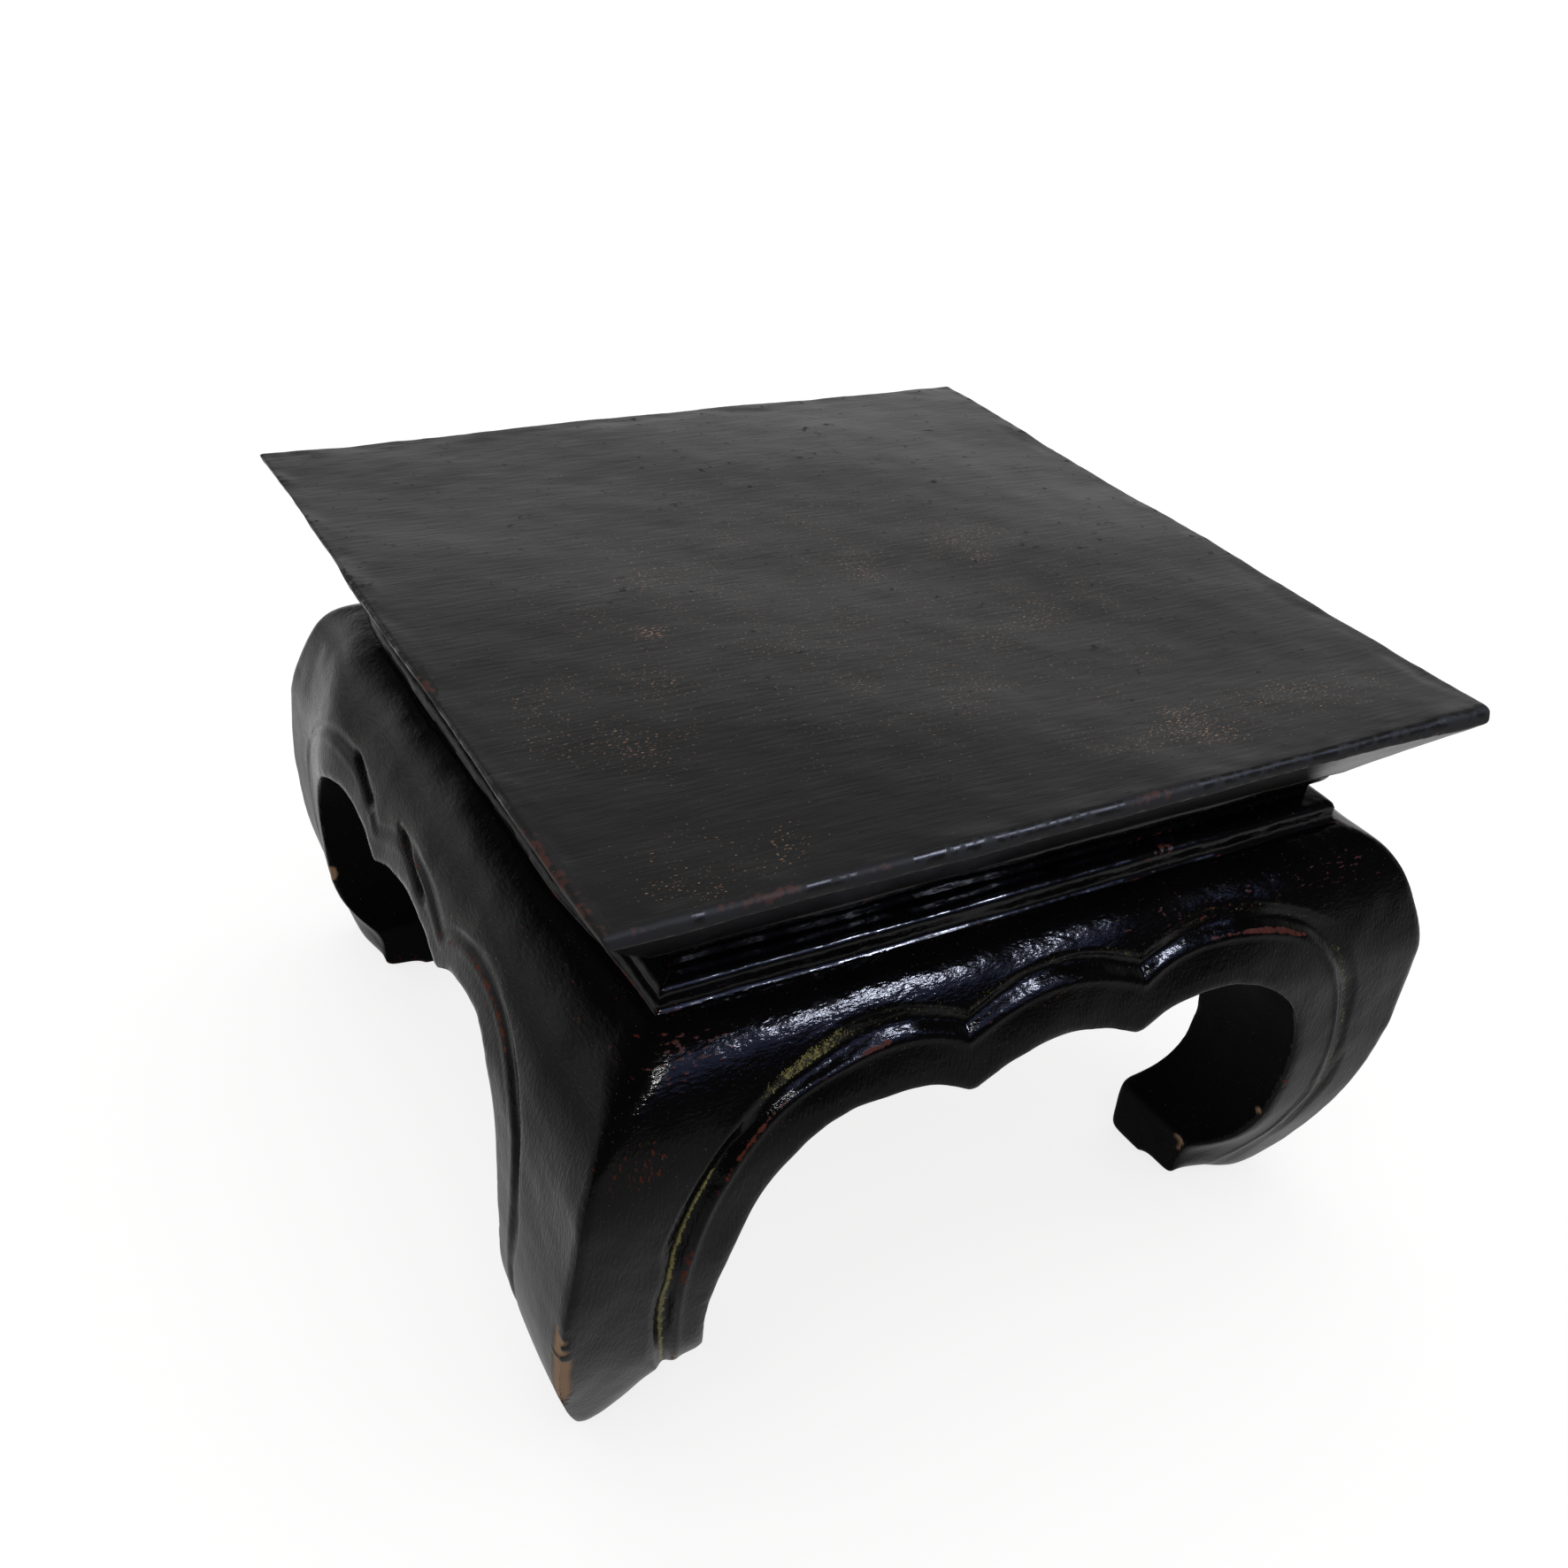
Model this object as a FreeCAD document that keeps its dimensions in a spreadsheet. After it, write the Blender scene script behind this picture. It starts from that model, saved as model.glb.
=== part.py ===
"""Low square vase stand with a narrow waist, bulging aprons and hooked legs.

Millimetres. The origin is on the floor under the middle of the stand, +Z is up and the front faces -Y.
A "reach" is the distance of a face from the stand's upright centre plane, and a "drop" is a distance
down from the shoulder, where the bulging faces start under the moulding.
"""
import FreeCAD, Part
import Sketcher
import os

from FreeCAD import Placement, Rotation, Vector

doc = FreeCAD.newDocument("VaseStand")

# Driving dimensions
SIZES = {
    # Overall
    "top_side": 320,
    "stand_height": 220,
    # Slab: thin rounded edge, steep bevel below it, two boards tongued together
    "slab_thickness": 34,
    "slab_edge_height": 6,
    "slab_edge_round": 2.8,
    "bevel_ledge": 2,
    "tongue_thickness": 9,
    "tongue_depth": 8,
    "tongue_length": 230,
    # Battens: a dovetail in the slab and a bar below it
    "batten_spacing": 110,
    "batten_end_gap": 14,
    "batten_width": 26,
    "batten_drop": 11,
    "dovetail_neck": 16,
    "dovetail_flare": 22,
    "dovetail_depth": 10,
    # Waist and moulding strips, mitred round the leg posts
    "waist_reach": 127,
    "strip_thickness": 10,
    "waist_height": 13,
    "lip_height": 8.5,
    "lip_overhang": 4.5,
    "lip_round": 1.5,
    "moulding_height": 8,
    "nose_inset": 3.5,
    "nose_round": 2.6,
    # Bulging outer face, from the shoulder down to the sole
    "shoulder_overhang": 11,
    "shoulder_round_drop": 13,
    "shoulder_round_swell": 16.5,
    "belly_drop": 34,
    "belly_swell": 24,
    "bulge_drop": 68,
    "bulge_swell": 26.5,
    "calf_height": 52,
    "calf_inset": 3.5,
    "sole_inset": 21.5,
    # Hook of the leg: thickness beside the hook and the square-cut tip
    "leg_thickness": 49.3,
    "tip_curl": 12.2,
    "tip_height": 24,
    "tip_face_inset": 26,
    "tip_face_height": 19,
    "tip_taper": 22,
    # Aprons with a scalloped lower edge
    "apron_thickness": 20,
    "arch_drop": 32,
    "cusp_drop": 40.8,
    "cusp_reach": 34,
    "lobe_drop": 33.7,
    "lobe_reach": 63,
    "apron_end_drop": 46.5,
    # Raised band along the lower edge of the aprons and the inner edge of the legs, set off by a groove
    "groove_depth": 2.8,
    "groove_width": 5,
    "groove_heel_width": 4,
    "groove_foot_width": 2.5,
    "band_width": 18.8,
    "band_cusp_shift": 1.3,
    "band_end_drop": 20.2,
    "band_leg_width": 20.3,
    "band_heel_height": 36,
    "band_heel_width": 13.8,
    "band_tip_width": 12,
    # Post and tenon on top of each leg
    "post_side": 19,
    "tenon_side": 13,
    "tenon_height": 14,
    # Tenons of the aprons, with the pegs through them
    "apron_tenon_inset": 25.5,
    "apron_tenon_thickness": 12,
    "apron_tenon_height": 26,
    "apron_tenon_drop": 8,
    "apron_tenon_length": 22,
    "peg_diameter": 6,
    "peg_grip": 4,
    "peg_high_drop": 15,
    "peg_low_drop": 27,
    # Pins through waist and moulding into the aprons
    "pin_diameter": 3,
    "pin_spacing": 120,
    "pin_hold": 18,
    # Clearances
    "joint_clearance": 0.1,
    "end_clearance": 1,
}

sheet = doc.addObject("Spreadsheet::Sheet", "Sizes")
for row, (alias, value) in enumerate(SIZES.items(), start=1):
    sheet.set(f"A{row}", alias)
    sheet.set(f"B{row}", str(value))
    sheet.setAlias(f"B{row}", alias)
doc.recompute()


def size(alias):
    """Value of one driving dimension, read from the sheet."""
    return float(sheet.get(alias))


# Heights and places that follow from the driving dimensions
SLAB_FOOT = size("stand_height") - size("slab_thickness")
SHOULDER = SLAB_FOOT - size("waist_height") - size("moulding_height")
HALF_TOP = size("top_side") / 2
WAIST_REACH = size("waist_reach")
STRIP_BACK = WAIST_REACH - size("strip_thickness")
LIP_REACH = WAIST_REACH + size("lip_overhang")
BEVEL_FOOT = LIP_REACH + size("bevel_ledge")
SHOULDER_REACH = WAIST_REACH + size("shoulder_overhang")
NOSE_REACH = SHOULDER_REACH - size("nose_inset")
BULGE_REACH = SHOULDER_REACH + size("bulge_swell")
CALF_REACH = BULGE_REACH - size("calf_inset")
SOLE_REACH = BULGE_REACH - size("sole_inset")
HOOK_REACH = BULGE_REACH - size("leg_thickness")
TIP_REACH = HOOK_REACH - size("tip_curl")
TIP_FACE_REACH = BULGE_REACH - size("tip_face_inset")
APRON_BACK = SHOULDER_REACH - size("apron_thickness")
# The legs and aprons meet in line with the inner faces of the leg posts
JOINT = STRIP_BACK - size("post_side")
EDGE_END = SHOULDER - size("apron_end_drop")
HOOK_MIDDLE = (EDGE_END + size("tip_height")) / 2
BAND_END = SHOULDER - size("band_end_drop")
TENON_MIDDLE = JOINT + size("apron_tenon_length") / 2
PIN_REACH = WAIST_REACH - size("strip_thickness") / 2
# A plane that lies inside every leg and apron, behind the groove
GROOVE_STOP = (HOOK_REACH + TIP_FACE_REACH - size("groove_depth")) / 2
# Cutting shapes run this far past what they cut
MARGIN = 10
OUTSIDE = max(HALF_TOP, BULGE_REACH) + MARGIN

# The same places as expressions, for the objects that are bound to the sheet
SLAB_FOOT_CELL = "(Sizes.stand_height - Sizes.slab_thickness)"
WAIST_FOOT_CELL = f"({SLAB_FOOT_CELL} - Sizes.waist_height)"
SHOULDER_CELL = f"({WAIST_FOOT_CELL} - Sizes.moulding_height)"
STRIP_BACK_CELL = "(Sizes.waist_reach - Sizes.strip_thickness)"
BATTEN_LENGTH_CELL = f"2 * ({STRIP_BACK_CELL} - Sizes.batten_end_gap)"
JOINT_CELL = f"({STRIP_BACK_CELL} - Sizes.post_side)"
BULGE_CELL = "(Sizes.waist_reach + Sizes.shoulder_overhang + Sizes.bulge_swell)"
TENON_FACE_CELL = f"({BULGE_CELL} - Sizes.apron_tenon_inset)"
TENON_FOOT_CELL = f"({SHOULDER_CELL} - Sizes.apron_tenon_drop - Sizes.apron_tenon_height)"
TENON_INSET_CELL = "(Sizes.post_side - Sizes.tenon_side) / 2"
PEG_HOLE_CELL = "Sizes.peg_diameter + Sizes.joint_clearance"
PEG_LENGTH_CELL = f"({TENON_FACE_CELL} + Sizes.peg_grip - {JOINT_CELL})"
PIN_HOLE_CELL = "Sizes.pin_diameter + Sizes.joint_clearance"
PIN_LENGTH_CELL = f"({SLAB_FOOT_CELL} - {SHOULDER_CELL} + Sizes.pin_hold)"

# Ways that the curves leave or meet a point, as directions in the view that they are drawn in
ACROSS = (1, 0)
UP = (0, 1)
DOWN = (0, -1)
LIP_WAY = (-1, 1)
SHOULDER_WAY = (1, -0.25)
CALF_WAY = (-0.18, -1)
SOLE_WAY = (-0.55, -1)
TIP_TOP_WAY = (0.6, 0.8)
CUSP_WAY = (0.9, -0.45)
LOBE_WAY = (0.8, 0.55)
EDGE_WAY = (0.76, -0.65)
BAND_WAY = (0.95, -0.31)
BAND_TIP_WAY = (-0.5, -1)
# At the heel of a leg the groove widens in this direction
HEEL_WAY = (0.8, -0.6)

# The two views that the curved pieces are sawn from: across is x in one and -y in the other
FRONT_VIEW = Rotation(Vector(1, 0, 0), 90)
SIDE_VIEW = Rotation(Vector(0, -1, 0), Vector(0, 0, 1), Vector(-1, 0, 0), "XYZ")
UPRIGHT = Vector(0, 0, 1)
ACROSS_STAND = Vector(1, 0, 0)
INWARDS = Vector(0, 1, 0)
# How far the middle of a quarter round stands back from the corner, for a radius of one
ROUND_MIDDLE = 1 - 0.5 ** 0.5
SIDES = {"front": 0, "right": 90, "back": 180, "left": 270}
CORNERS = {"front_right": 0, "back_right": 90, "back_left": 180, "front_left": 270}


def line(start, end):
    return Part.LineSegment(Vector(*start, 0), Vector(*end, 0))


def lines(*points):
    return [line(start, end) for start, end in zip(points, points[1:])]


def arc(start, middle, end):
    return Part.Arc(Vector(*start, 0), Vector(*middle, 0), Vector(*end, 0))


def curve(points, first_way, last_way):
    """Smooth curve through a few points, leaving and arriving in the given directions."""
    spline = Part.BSplineCurve()
    spline.interpolate(
        Points=[Vector(*point, 0) for point in points],
        InitialTangent=Vector(*first_way, 0),
        FinalTangent=Vector(*last_way, 0),
    )
    return spline


def flipped(edges):
    """Left-hand half of a symmetrical outline, from its right-hand half."""
    turned = []
    for edge in reversed(edges):
        points = edge.copy()
        points.mirror(Vector(0, 0, 0), Vector(0, 1, 0))
        points.reverse()
        turned.append(points)
    return turned


def rectangle(left, right, low, high):
    return lines((left, low), (right, low), (right, high), (left, high), (left, low))


def join_ends(sketch, edge, following):
    """Tie two edges at the ends that meet, because a sketch may turn a round edge the other way about."""
    start, end = 1, 2
    meetings = []
    for one in (start, end):
        for other in (start, end):
            gap = sketch.getPoint(edge, one).distanceToPoint(sketch.getPoint(following, other))
            meetings.append((gap, one, other))
    _, one, other = min(meetings)
    sketch.addConstraint(Sketcher.Constraint("Coincident", edge, one, following, other))


def draw(sketch, *outlines):
    """Put closed outlines into a sketch, each edge joined to the next."""
    for edges in outlines:
        first = sketch.GeometryCount
        for edge in edges:
            sketch.addGeometry(edge, False)
        if len(edges) > 1:
            for index in range(len(edges)):
                join_ends(sketch, first + index, first + (index + 1) % len(edges))
    return sketch


def view_sketch(name, view, edges, x=0, y=0):
    sketch = draw(doc.addObject("Sketcher::SketchObject", name), edges)
    sketch.Placement = Placement(Vector(x, y, 0), view)
    return sketch


def body_sketch(body, name, role, *outlines, offset=0):
    """Sketch on one of the body's own planes, moved along the plane's normal."""
    sketch = body.newObject("Sketcher::SketchObject", name)
    plane = next(feature for feature in body.Origin.OriginFeatures if feature.Role == role)
    sketch.AttachmentSupport = [(plane, "")]
    sketch.MapMode = "FlatFace"
    sketch.AttachmentOffset = Placement(Vector(0, 0, offset), Rotation())
    return draw(sketch, *outlines)


def new_body(name, foot_cell):
    body = doc.addObject("PartDesign::Body", name)
    body.setExpression("Placement.Base.z", foot_cell)
    return body


def pad(body, name, sketch, length_cell, side="One side", backwards=False):
    feature = body.newObject("PartDesign::Pad", name)
    feature.Profile = sketch
    feature.SideType = side
    feature.Reversed = backwards
    feature.setExpression("Length", length_cell)
    doc.recompute()
    return feature


def pocket(body, name, sketch, length_cell, side="One side", backwards=False):
    """Cut with a sketch, and make sure that the cut takes something away."""
    before = body.Shape.Volume
    feature = body.newObject("PartDesign::Pocket", name)
    feature.Profile = sketch
    feature.SideType = side
    feature.Reversed = backwards
    feature.setExpression("Length", length_cell)
    doc.recompute()
    if body.Shape.Volume >= before:
        raise RuntimeError(f"{body.Name}: {name} cuts nothing")
    return feature


def extrusion(name, sketch, way, length_cell):
    solid = doc.addObject("Part::Extrusion", name)
    solid.Base = sketch
    solid.DirMode = "Custom"
    solid.Dir = way
    solid.Solid = True
    solid.setExpression("LengthFwd", length_cell)
    return solid


def box(name, x, y, z, length, width, height):
    """Box bound to the sheet by its low corner and its three sides."""
    solid = doc.addObject("Part::Box", name)
    solid.setExpression("Placement.Base.x", x)
    solid.setExpression("Placement.Base.y", y)
    solid.setExpression("Placement.Base.z", z)
    solid.setExpression("Length", length)
    solid.setExpression("Width", width)
    solid.setExpression("Height", height)
    return solid


def rod(name, diameter_cell, length_cell, start, way):
    solid = doc.addObject("Part::Cylinder", name)
    solid.setExpression("Radius", f"({diameter_cell}) / 2")
    solid.setExpression("Height", length_cell)
    solid.Placement = Placement(Vector(*start), Rotation(UPRIGHT, Vector(*way)))
    return solid


def boolean(kind, name, base, tool):
    result = doc.addObject(f"Part::{kind}", name)
    result.Base = base
    result.Tool = tool
    return result


def group(name, members):
    result = doc.addObject("Part::Compound", name)
    result.Links = members
    return result


def fused(name, members):
    result = doc.addObject("Part::MultiFuse", name)
    result.Shapes = members
    return result


def diagonal_twin(name, source):
    """Mirror image of something on the front right leg, in that leg's diagonal plane."""
    twin = doc.addObject("Part::Mirroring", name)
    twin.Source = source
    twin.Normal = Vector(1, 1, 0)
    return twin


def moved_in(name, source):
    """The same solid, moved from the front towards the back by the depth of the groove."""
    copy = group(name, [source])
    copy.setExpression("Placement.Base.y", "Sizes.groove_depth")
    return copy


def placed(label, pattern, angle):
    """One of the equal pieces round the stand, turned to its side or corner."""
    piece = group(label, [pattern])
    piece.Label = label
    piece.Placement = Placement(Vector(0, 0, 0), Rotation(UPRIGHT, angle))
    return piece


# Slab of two boards


def slab_board(label, side):
    """Front (side -1) or back (side +1) board, without its edge joint."""
    body = new_body(label, SLAB_FOOT_CELL)
    body.Label = label
    low, high = sorted((0, side * HALF_TOP))
    foot_low, foot_high = sorted((0, side * BEVEL_FOOT))
    bevel_height = size("slab_thickness") - size("slab_edge_height")
    foot_outline = rectangle(-BEVEL_FOOT, BEVEL_FOOT, foot_low, foot_high)
    foot = body_sketch(body, f"{label}_foot", "XY_Plane", foot_outline)
    rim_outline = rectangle(-HALF_TOP, HALF_TOP, low, high)
    rim = body_sketch(body, f"{label}_rim", "XY_Plane", rim_outline, offset=bevel_height)
    bevel = body.newObject("PartDesign::AdditiveLoft", f"{label}_bevel")
    bevel.Profile = foot
    bevel.Sections = [rim]
    bevel.Ruled = True
    doc.recompute()
    edge_band = body_sketch(body, f"{label}_edge_outline", "XY_Plane", rim_outline, offset=bevel_height)
    slab_edge = pad(body, f"{label}_edge", edge_band, "Sizes.slab_edge_height")
    round_outer_edges(body, f"{label}_edge_round", slab_edge, bevel_height)

    sockets = [mortise_outline(x, side) for x in (-1, 1)]
    mortises = body_sketch(body, f"{label}_mortise_outline", "XY_Plane", *sockets)
    pocket(body, f"{label}_mortises", mortises, "Sizes.tenon_height + Sizes.end_clearance", backwards=True)
    return body


def cut_dovetails(body):
    """Plough the two grooves for the battens, through the tongue of the joint too if it lies that low."""
    grooves = [dovetail_outline(x * size("batten_spacing") / 2, size("joint_clearance")) for x in (-1, 1)]
    dovetails = body_sketch(body, f"{body.Label}_dovetail_outline", "XZ_Plane", *grooves)
    groove_cell = f"{BATTEN_LENGTH_CELL} + 2 * Sizes.end_clearance"
    pocket(body, f"{body.Label}_dovetails", dovetails, groove_cell, side="Symmetric")


def round_outer_edges(body, name, base, bevel_height):
    """Ease the thin edge of the slab and its two corners, but not the edge joint."""
    near = 0.01
    chosen = []
    for index, edge in enumerate(base.Shape.Edges, start=1):
        middle = edge.CenterOfMass
        outer = max(abs(middle.x), abs(middle.y)) > HALF_TOP - near
        lowest = min(vertex.Point.z for vertex in edge.Vertexes)
        on_joint = all(abs(vertex.Point.y) < near for vertex in edge.Vertexes)
        if outer and not on_joint and lowest > bevel_height - near:
            chosen.append(f"Edge{index}")
    feature = body.newObject("PartDesign::Fillet", name)
    feature.Base = (base, chosen)
    feature.setExpression("Radius", "Sizes.slab_edge_round")
    doc.recompute()


def mortise_outline(x_side, y_side):
    """Socket in the slab for the tenon on top of one leg."""
    half = size("tenon_side") / 2 + size("joint_clearance")
    middle = STRIP_BACK - size("post_side") / 2
    return rectangle(
        x_side * middle - half, x_side * middle + half, y_side * middle - half, y_side * middle + half
    )


def dovetail_outline(x, clearance):
    """Dovetail of a batten, seen along it, from the underside of the slab upwards."""
    neck = size("dovetail_neck") / 2 + clearance
    flare = size("dovetail_flare") / 2 + clearance
    top = size("dovetail_depth") + clearance
    return lines((x - neck, 0), (x + neck, 0), (x + flare, top), (x - flare, top), (x - neck, 0))


def tongue_outline(clearance):
    half = size("tongue_length") / 2 + clearance
    low = (size("slab_thickness") - size("tongue_thickness")) / 2 - clearance
    return rectangle(-half, half, low, size("slab_thickness") - low)


front_board = slab_board("slab_front_board", -1)
tongue = body_sketch(front_board, "tongue_outline", "XZ_Plane", tongue_outline(0))
pad(front_board, "tongue", tongue, "Sizes.tongue_depth", backwards=True)
cut_dovetails(front_board)

back_board = slab_board("slab_back_board", 1)
groove = body_sketch(back_board, "groove_outline", "XZ_Plane", tongue_outline(size("joint_clearance")))
pocket(back_board, "groove", groove, "Sizes.tongue_depth + Sizes.end_clearance")
cut_dovetails(back_board)


# Dovetail battens


def batten(label, side):
    body = new_body(label, SLAB_FOOT_CELL)
    body.Label = label
    body.setExpression("Placement.Base.x", f"{side} * Sizes.batten_spacing / 2")
    half = size("batten_width") / 2
    neck = size("dovetail_neck") / 2
    flare = size("dovetail_flare") / 2
    top = size("dovetail_depth")
    drop = size("batten_drop")
    outline = lines(
        (-half, -drop), (half, -drop), (half, 0), (neck, 0), (flare, top),
        (-flare, top), (-neck, 0), (-half, 0), (-half, -drop),
    )
    section = body_sketch(body, f"{label}_section", "XZ_Plane", outline)
    pad(body, f"{label}_length", section, BATTEN_LENGTH_CELL, side="Symmetric")
    return body


battens = [batten("batten_left", -1), batten("batten_right", 1)]


# Waist and moulding strips


def strip_pattern(name, foot_cell, height_cell, reach, waste):
    """Front strip: a mitred bar whose outer face is planed to a section, with two pin holes."""
    body = new_body(name, foot_cell)
    back = STRIP_BACK
    plan = lines((-back, -back), (-reach, -reach), (reach, -reach), (back, -back), (-back, -back))
    bar = body_sketch(body, f"{name}_plan", "XY_Plane", plan)
    pad(body, f"{name}_bar", bar, height_cell)
    shaving = body_sketch(body, f"{name}_waste", "YZ_Plane", waste)
    pocket(body, f"{name}_planed", shaving, "2 * Sizes.top_side", side="Symmetric")
    radius = size("pin_diameter") / 2 + size("joint_clearance") / 2
    circles = [
        [Part.Circle(Vector(x * size("pin_spacing") / 2, -PIN_REACH, 0), UPRIGHT, radius)] for x in (-1, 1)
    ]
    holes = body_sketch(body, f"{name}_pin_outline", "XY_Plane", *circles)
    pocket(body, f"{name}_pin_holes", holes, height_cell, backwards=True)
    return body


def waist_waste():
    """What is planed off the waist: a plain band below a small rolled lip."""
    rounding = size("lip_round")
    height = size("waist_height")
    lip_foot = height - size("lip_height")
    lip_side = height - rounding
    lip_top = rounding - LIP_REACH
    corner = ROUND_MIDDLE * rounding
    return [
        line((-WAIST_REACH, -MARGIN), (-WAIST_REACH, lip_foot)),
        curve([(-WAIST_REACH, lip_foot), (-LIP_REACH, lip_side)], LIP_WAY, UP),
        arc((-LIP_REACH, lip_side), (corner - LIP_REACH, height - corner), (lip_top, height)),
        *above_section(lip_top, height, -WAIST_REACH),
    ]


def moulding_waste():
    """What is planed off the moulding: a rounded nose above a small hollow."""
    rounding = size("nose_round")
    height = size("moulding_height")
    nose_side = height - rounding
    hollow_top = nose_side / 2
    nose_top = rounding - NOSE_REACH
    corner = ROUND_MIDDLE * rounding
    return [
        line((-SHOULDER_REACH, -MARGIN), (-SHOULDER_REACH, 0)),
        curve([(-SHOULDER_REACH, 0), (-NOSE_REACH, hollow_top)], ACROSS, UP),
        line((-NOSE_REACH, hollow_top), (-NOSE_REACH, nose_side)),
        arc((-NOSE_REACH, nose_side), (corner - NOSE_REACH, height - corner), (nose_top, height)),
        *above_section(nose_top, height, -SHOULDER_REACH),
    ]


def above_section(top, height, foot):
    """Rest of the outline of the waste: over the strip, out, down and back under it."""
    over = height + MARGIN
    return lines((top, height), (top, over), (-OUTSIDE, over), (-OUTSIDE, -MARGIN), (foot, -MARGIN))


waist = strip_pattern("waist_pattern", WAIST_FOOT_CELL, "Sizes.waist_height", LIP_REACH, waist_waste())
moulding = strip_pattern(
    "moulding_pattern", SHOULDER_CELL, "Sizes.moulding_height", SHOULDER_REACH, moulding_waste()
)
waist_strips = [placed(f"waist_strip_{side}", waist, angle) for side, angle in SIDES.items()]
moulding_strips = [placed(f"moulding_strip_{side}", moulding, angle) for side, angle in SIDES.items()]


# Curves that aprons and legs share, drawn in the front view or in the side view


def upper_face():
    """Outer face from the shoulder, past its widest place, down to the calf."""
    shoulder = (SHOULDER_REACH, SHOULDER)
    rounding = (SHOULDER_REACH + size("shoulder_round_swell"), SHOULDER - size("shoulder_round_drop"))
    belly = (SHOULDER_REACH + size("belly_swell"), SHOULDER - size("belly_drop"))
    widest = (BULGE_REACH, SHOULDER - size("bulge_drop"))
    calf = (CALF_REACH, size("calf_height"))
    return [
        curve([shoulder, rounding, belly, widest], SHOULDER_WAY, DOWN),
        curve([widest, calf], DOWN, CALF_WAY),
    ]


def scallop(rise, spread, end_drop, end_way):
    """Half of the scalloped edge, from the middle to the leg; the groove follows it higher up."""
    middle = (0, SHOULDER - size("arch_drop") + rise)
    cusp = (size("cusp_reach") + spread, SHOULDER - size("cusp_drop") + rise)
    lobe = (size("lobe_reach") + spread, SHOULDER - size("lobe_drop") + rise)
    end = (JOINT, SHOULDER - end_drop)
    return [curve([middle, cusp], ACROSS, CUSP_WAY), curve([cusp, lobe, end], LOBE_WAY, end_way)]


def below(half_edge, floor):
    """Closed outline of all that lies below a symmetrical edge, past both ends of the apron."""
    edge = flipped(half_edge) + half_edge
    end = (JOINT, half_edge[-1].EndPoint.y)
    far = JOINT + MARGIN
    return edge + lines(end, (far, end[1]), (far, floor), (-far, floor), (-far, end[1]), (-end[0], end[1]))


# Aprons

apron_section = [
    line((APRON_BACK, SHOULDER), (SHOULDER_REACH, SHOULDER)),
    *upper_face(),
    *lines((CALF_REACH, size("calf_height")), (APRON_BACK, size("calf_height")), (APRON_BACK, SHOULDER)),
]
apron_stock = extrusion(
    "apron_stock", view_sketch("apron_section", SIDE_VIEW, apron_section, x=-JOINT), ACROSS_STAND,
    f"2 * {JOINT_CELL}",
)
edge_outline = below(scallop(0, 0, size("apron_end_drop"), EDGE_WAY), size("calf_height") - MARGIN)
edge_waste = extrusion(
    "apron_edge_waste", view_sketch("apron_edge", FRONT_VIEW, edge_outline, y=-OUTSIDE), INWARDS,
    f"{OUTSIDE}",
)


def groove_side(widening):
    """One side of the apron's groove: the top of the band, or the same line raised by the groove's width."""
    rise = size("band_width") + widening
    half = scallop(rise, size("band_cusp_shift"), size("band_end_drop") - widening, BAND_WAY)
    return flipped(half) + half


def reversed_run(edges):
    """The same run of edges, drawn from its end to its start."""
    turned = []
    for edge in reversed(edges):
        copy = edge.copy()
        copy.reverse()
        turned.append(copy)
    return turned


def groove_outline():
    """Strip above the band, past both ends of the apron."""
    low = groove_side(0)
    high = groove_side(size("groove_width"))
    far = JOINT + MARGIN
    foot = low[-1].EndPoint.y
    top = high[-1].EndPoint.y
    right_end = lines((JOINT, foot), (far, foot), (far, top), (JOINT, top))
    left_end = lines((-JOINT, top), (-far, top), (-far, foot), (-JOINT, foot))
    return low + right_end + reversed_run(high) + left_end


groove_zone = extrusion(
    "apron_groove_zone", view_sketch("apron_groove_edge", FRONT_VIEW, groove_outline(), y=-OUTSIDE), INWARDS,
    f"{OUTSIDE - GROOVE_STOP}",
)
apron_groove = boolean("Cut", "apron_groove", groove_zone, moved_in("apron_groove_floor", apron_stock))
apron_shape = boolean("Cut", "apron_scalloped", apron_stock, edge_waste)
apron_shape = boolean("Cut", "apron_grooved", apron_shape, apron_groove)
apron_tenons = box(
    "apron_tenons", f"-{JOINT_CELL} - Sizes.apron_tenon_length", f"-{TENON_FACE_CELL}", TENON_FOOT_CELL,
    f"2 * ({JOINT_CELL} + Sizes.apron_tenon_length)", "Sizes.apron_tenon_thickness",
    "Sizes.apron_tenon_height",
)
apron_shape = fused("apron_with_tenons", [apron_shape, apron_tenons])


def peg(name, end, diameter_cell):
    """Peg at one end of the front apron: the left end (-1) has it high, the right end (+1) low."""
    drop = size("peg_low_drop") if end > 0 else size("peg_high_drop")
    start = (end * TENON_MIDDLE, -JOINT, SHOULDER - drop)
    return rod(name, diameter_cell, PEG_LENGTH_CELL, start, (0, -1, 0))


def pin(name, end, diameter_cell):
    start = (end * size("pin_spacing") / 2, -PIN_REACH, SHOULDER - size("pin_hold"))
    return rod(name, diameter_cell, PIN_LENGTH_CELL, start, (0, 0, 1))


apron_holes = group("apron_holes", [
    peg("apron_peg_hole_left", -1, PEG_HOLE_CELL),
    peg("apron_peg_hole_right", 1, PEG_HOLE_CELL),
    pin("apron_pin_hole_left", -1, PIN_HOLE_CELL),
    pin("apron_pin_hole_right", 1, PIN_HOLE_CELL),
])
apron = boolean("Cut", "apron_pattern", apron_shape, apron_holes)
aprons = [placed(f"apron_{side}", apron, angle) for side, angle in SIDES.items()]


# Legs: a square block sawn to the same hooked outline from the front and from the side


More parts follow.
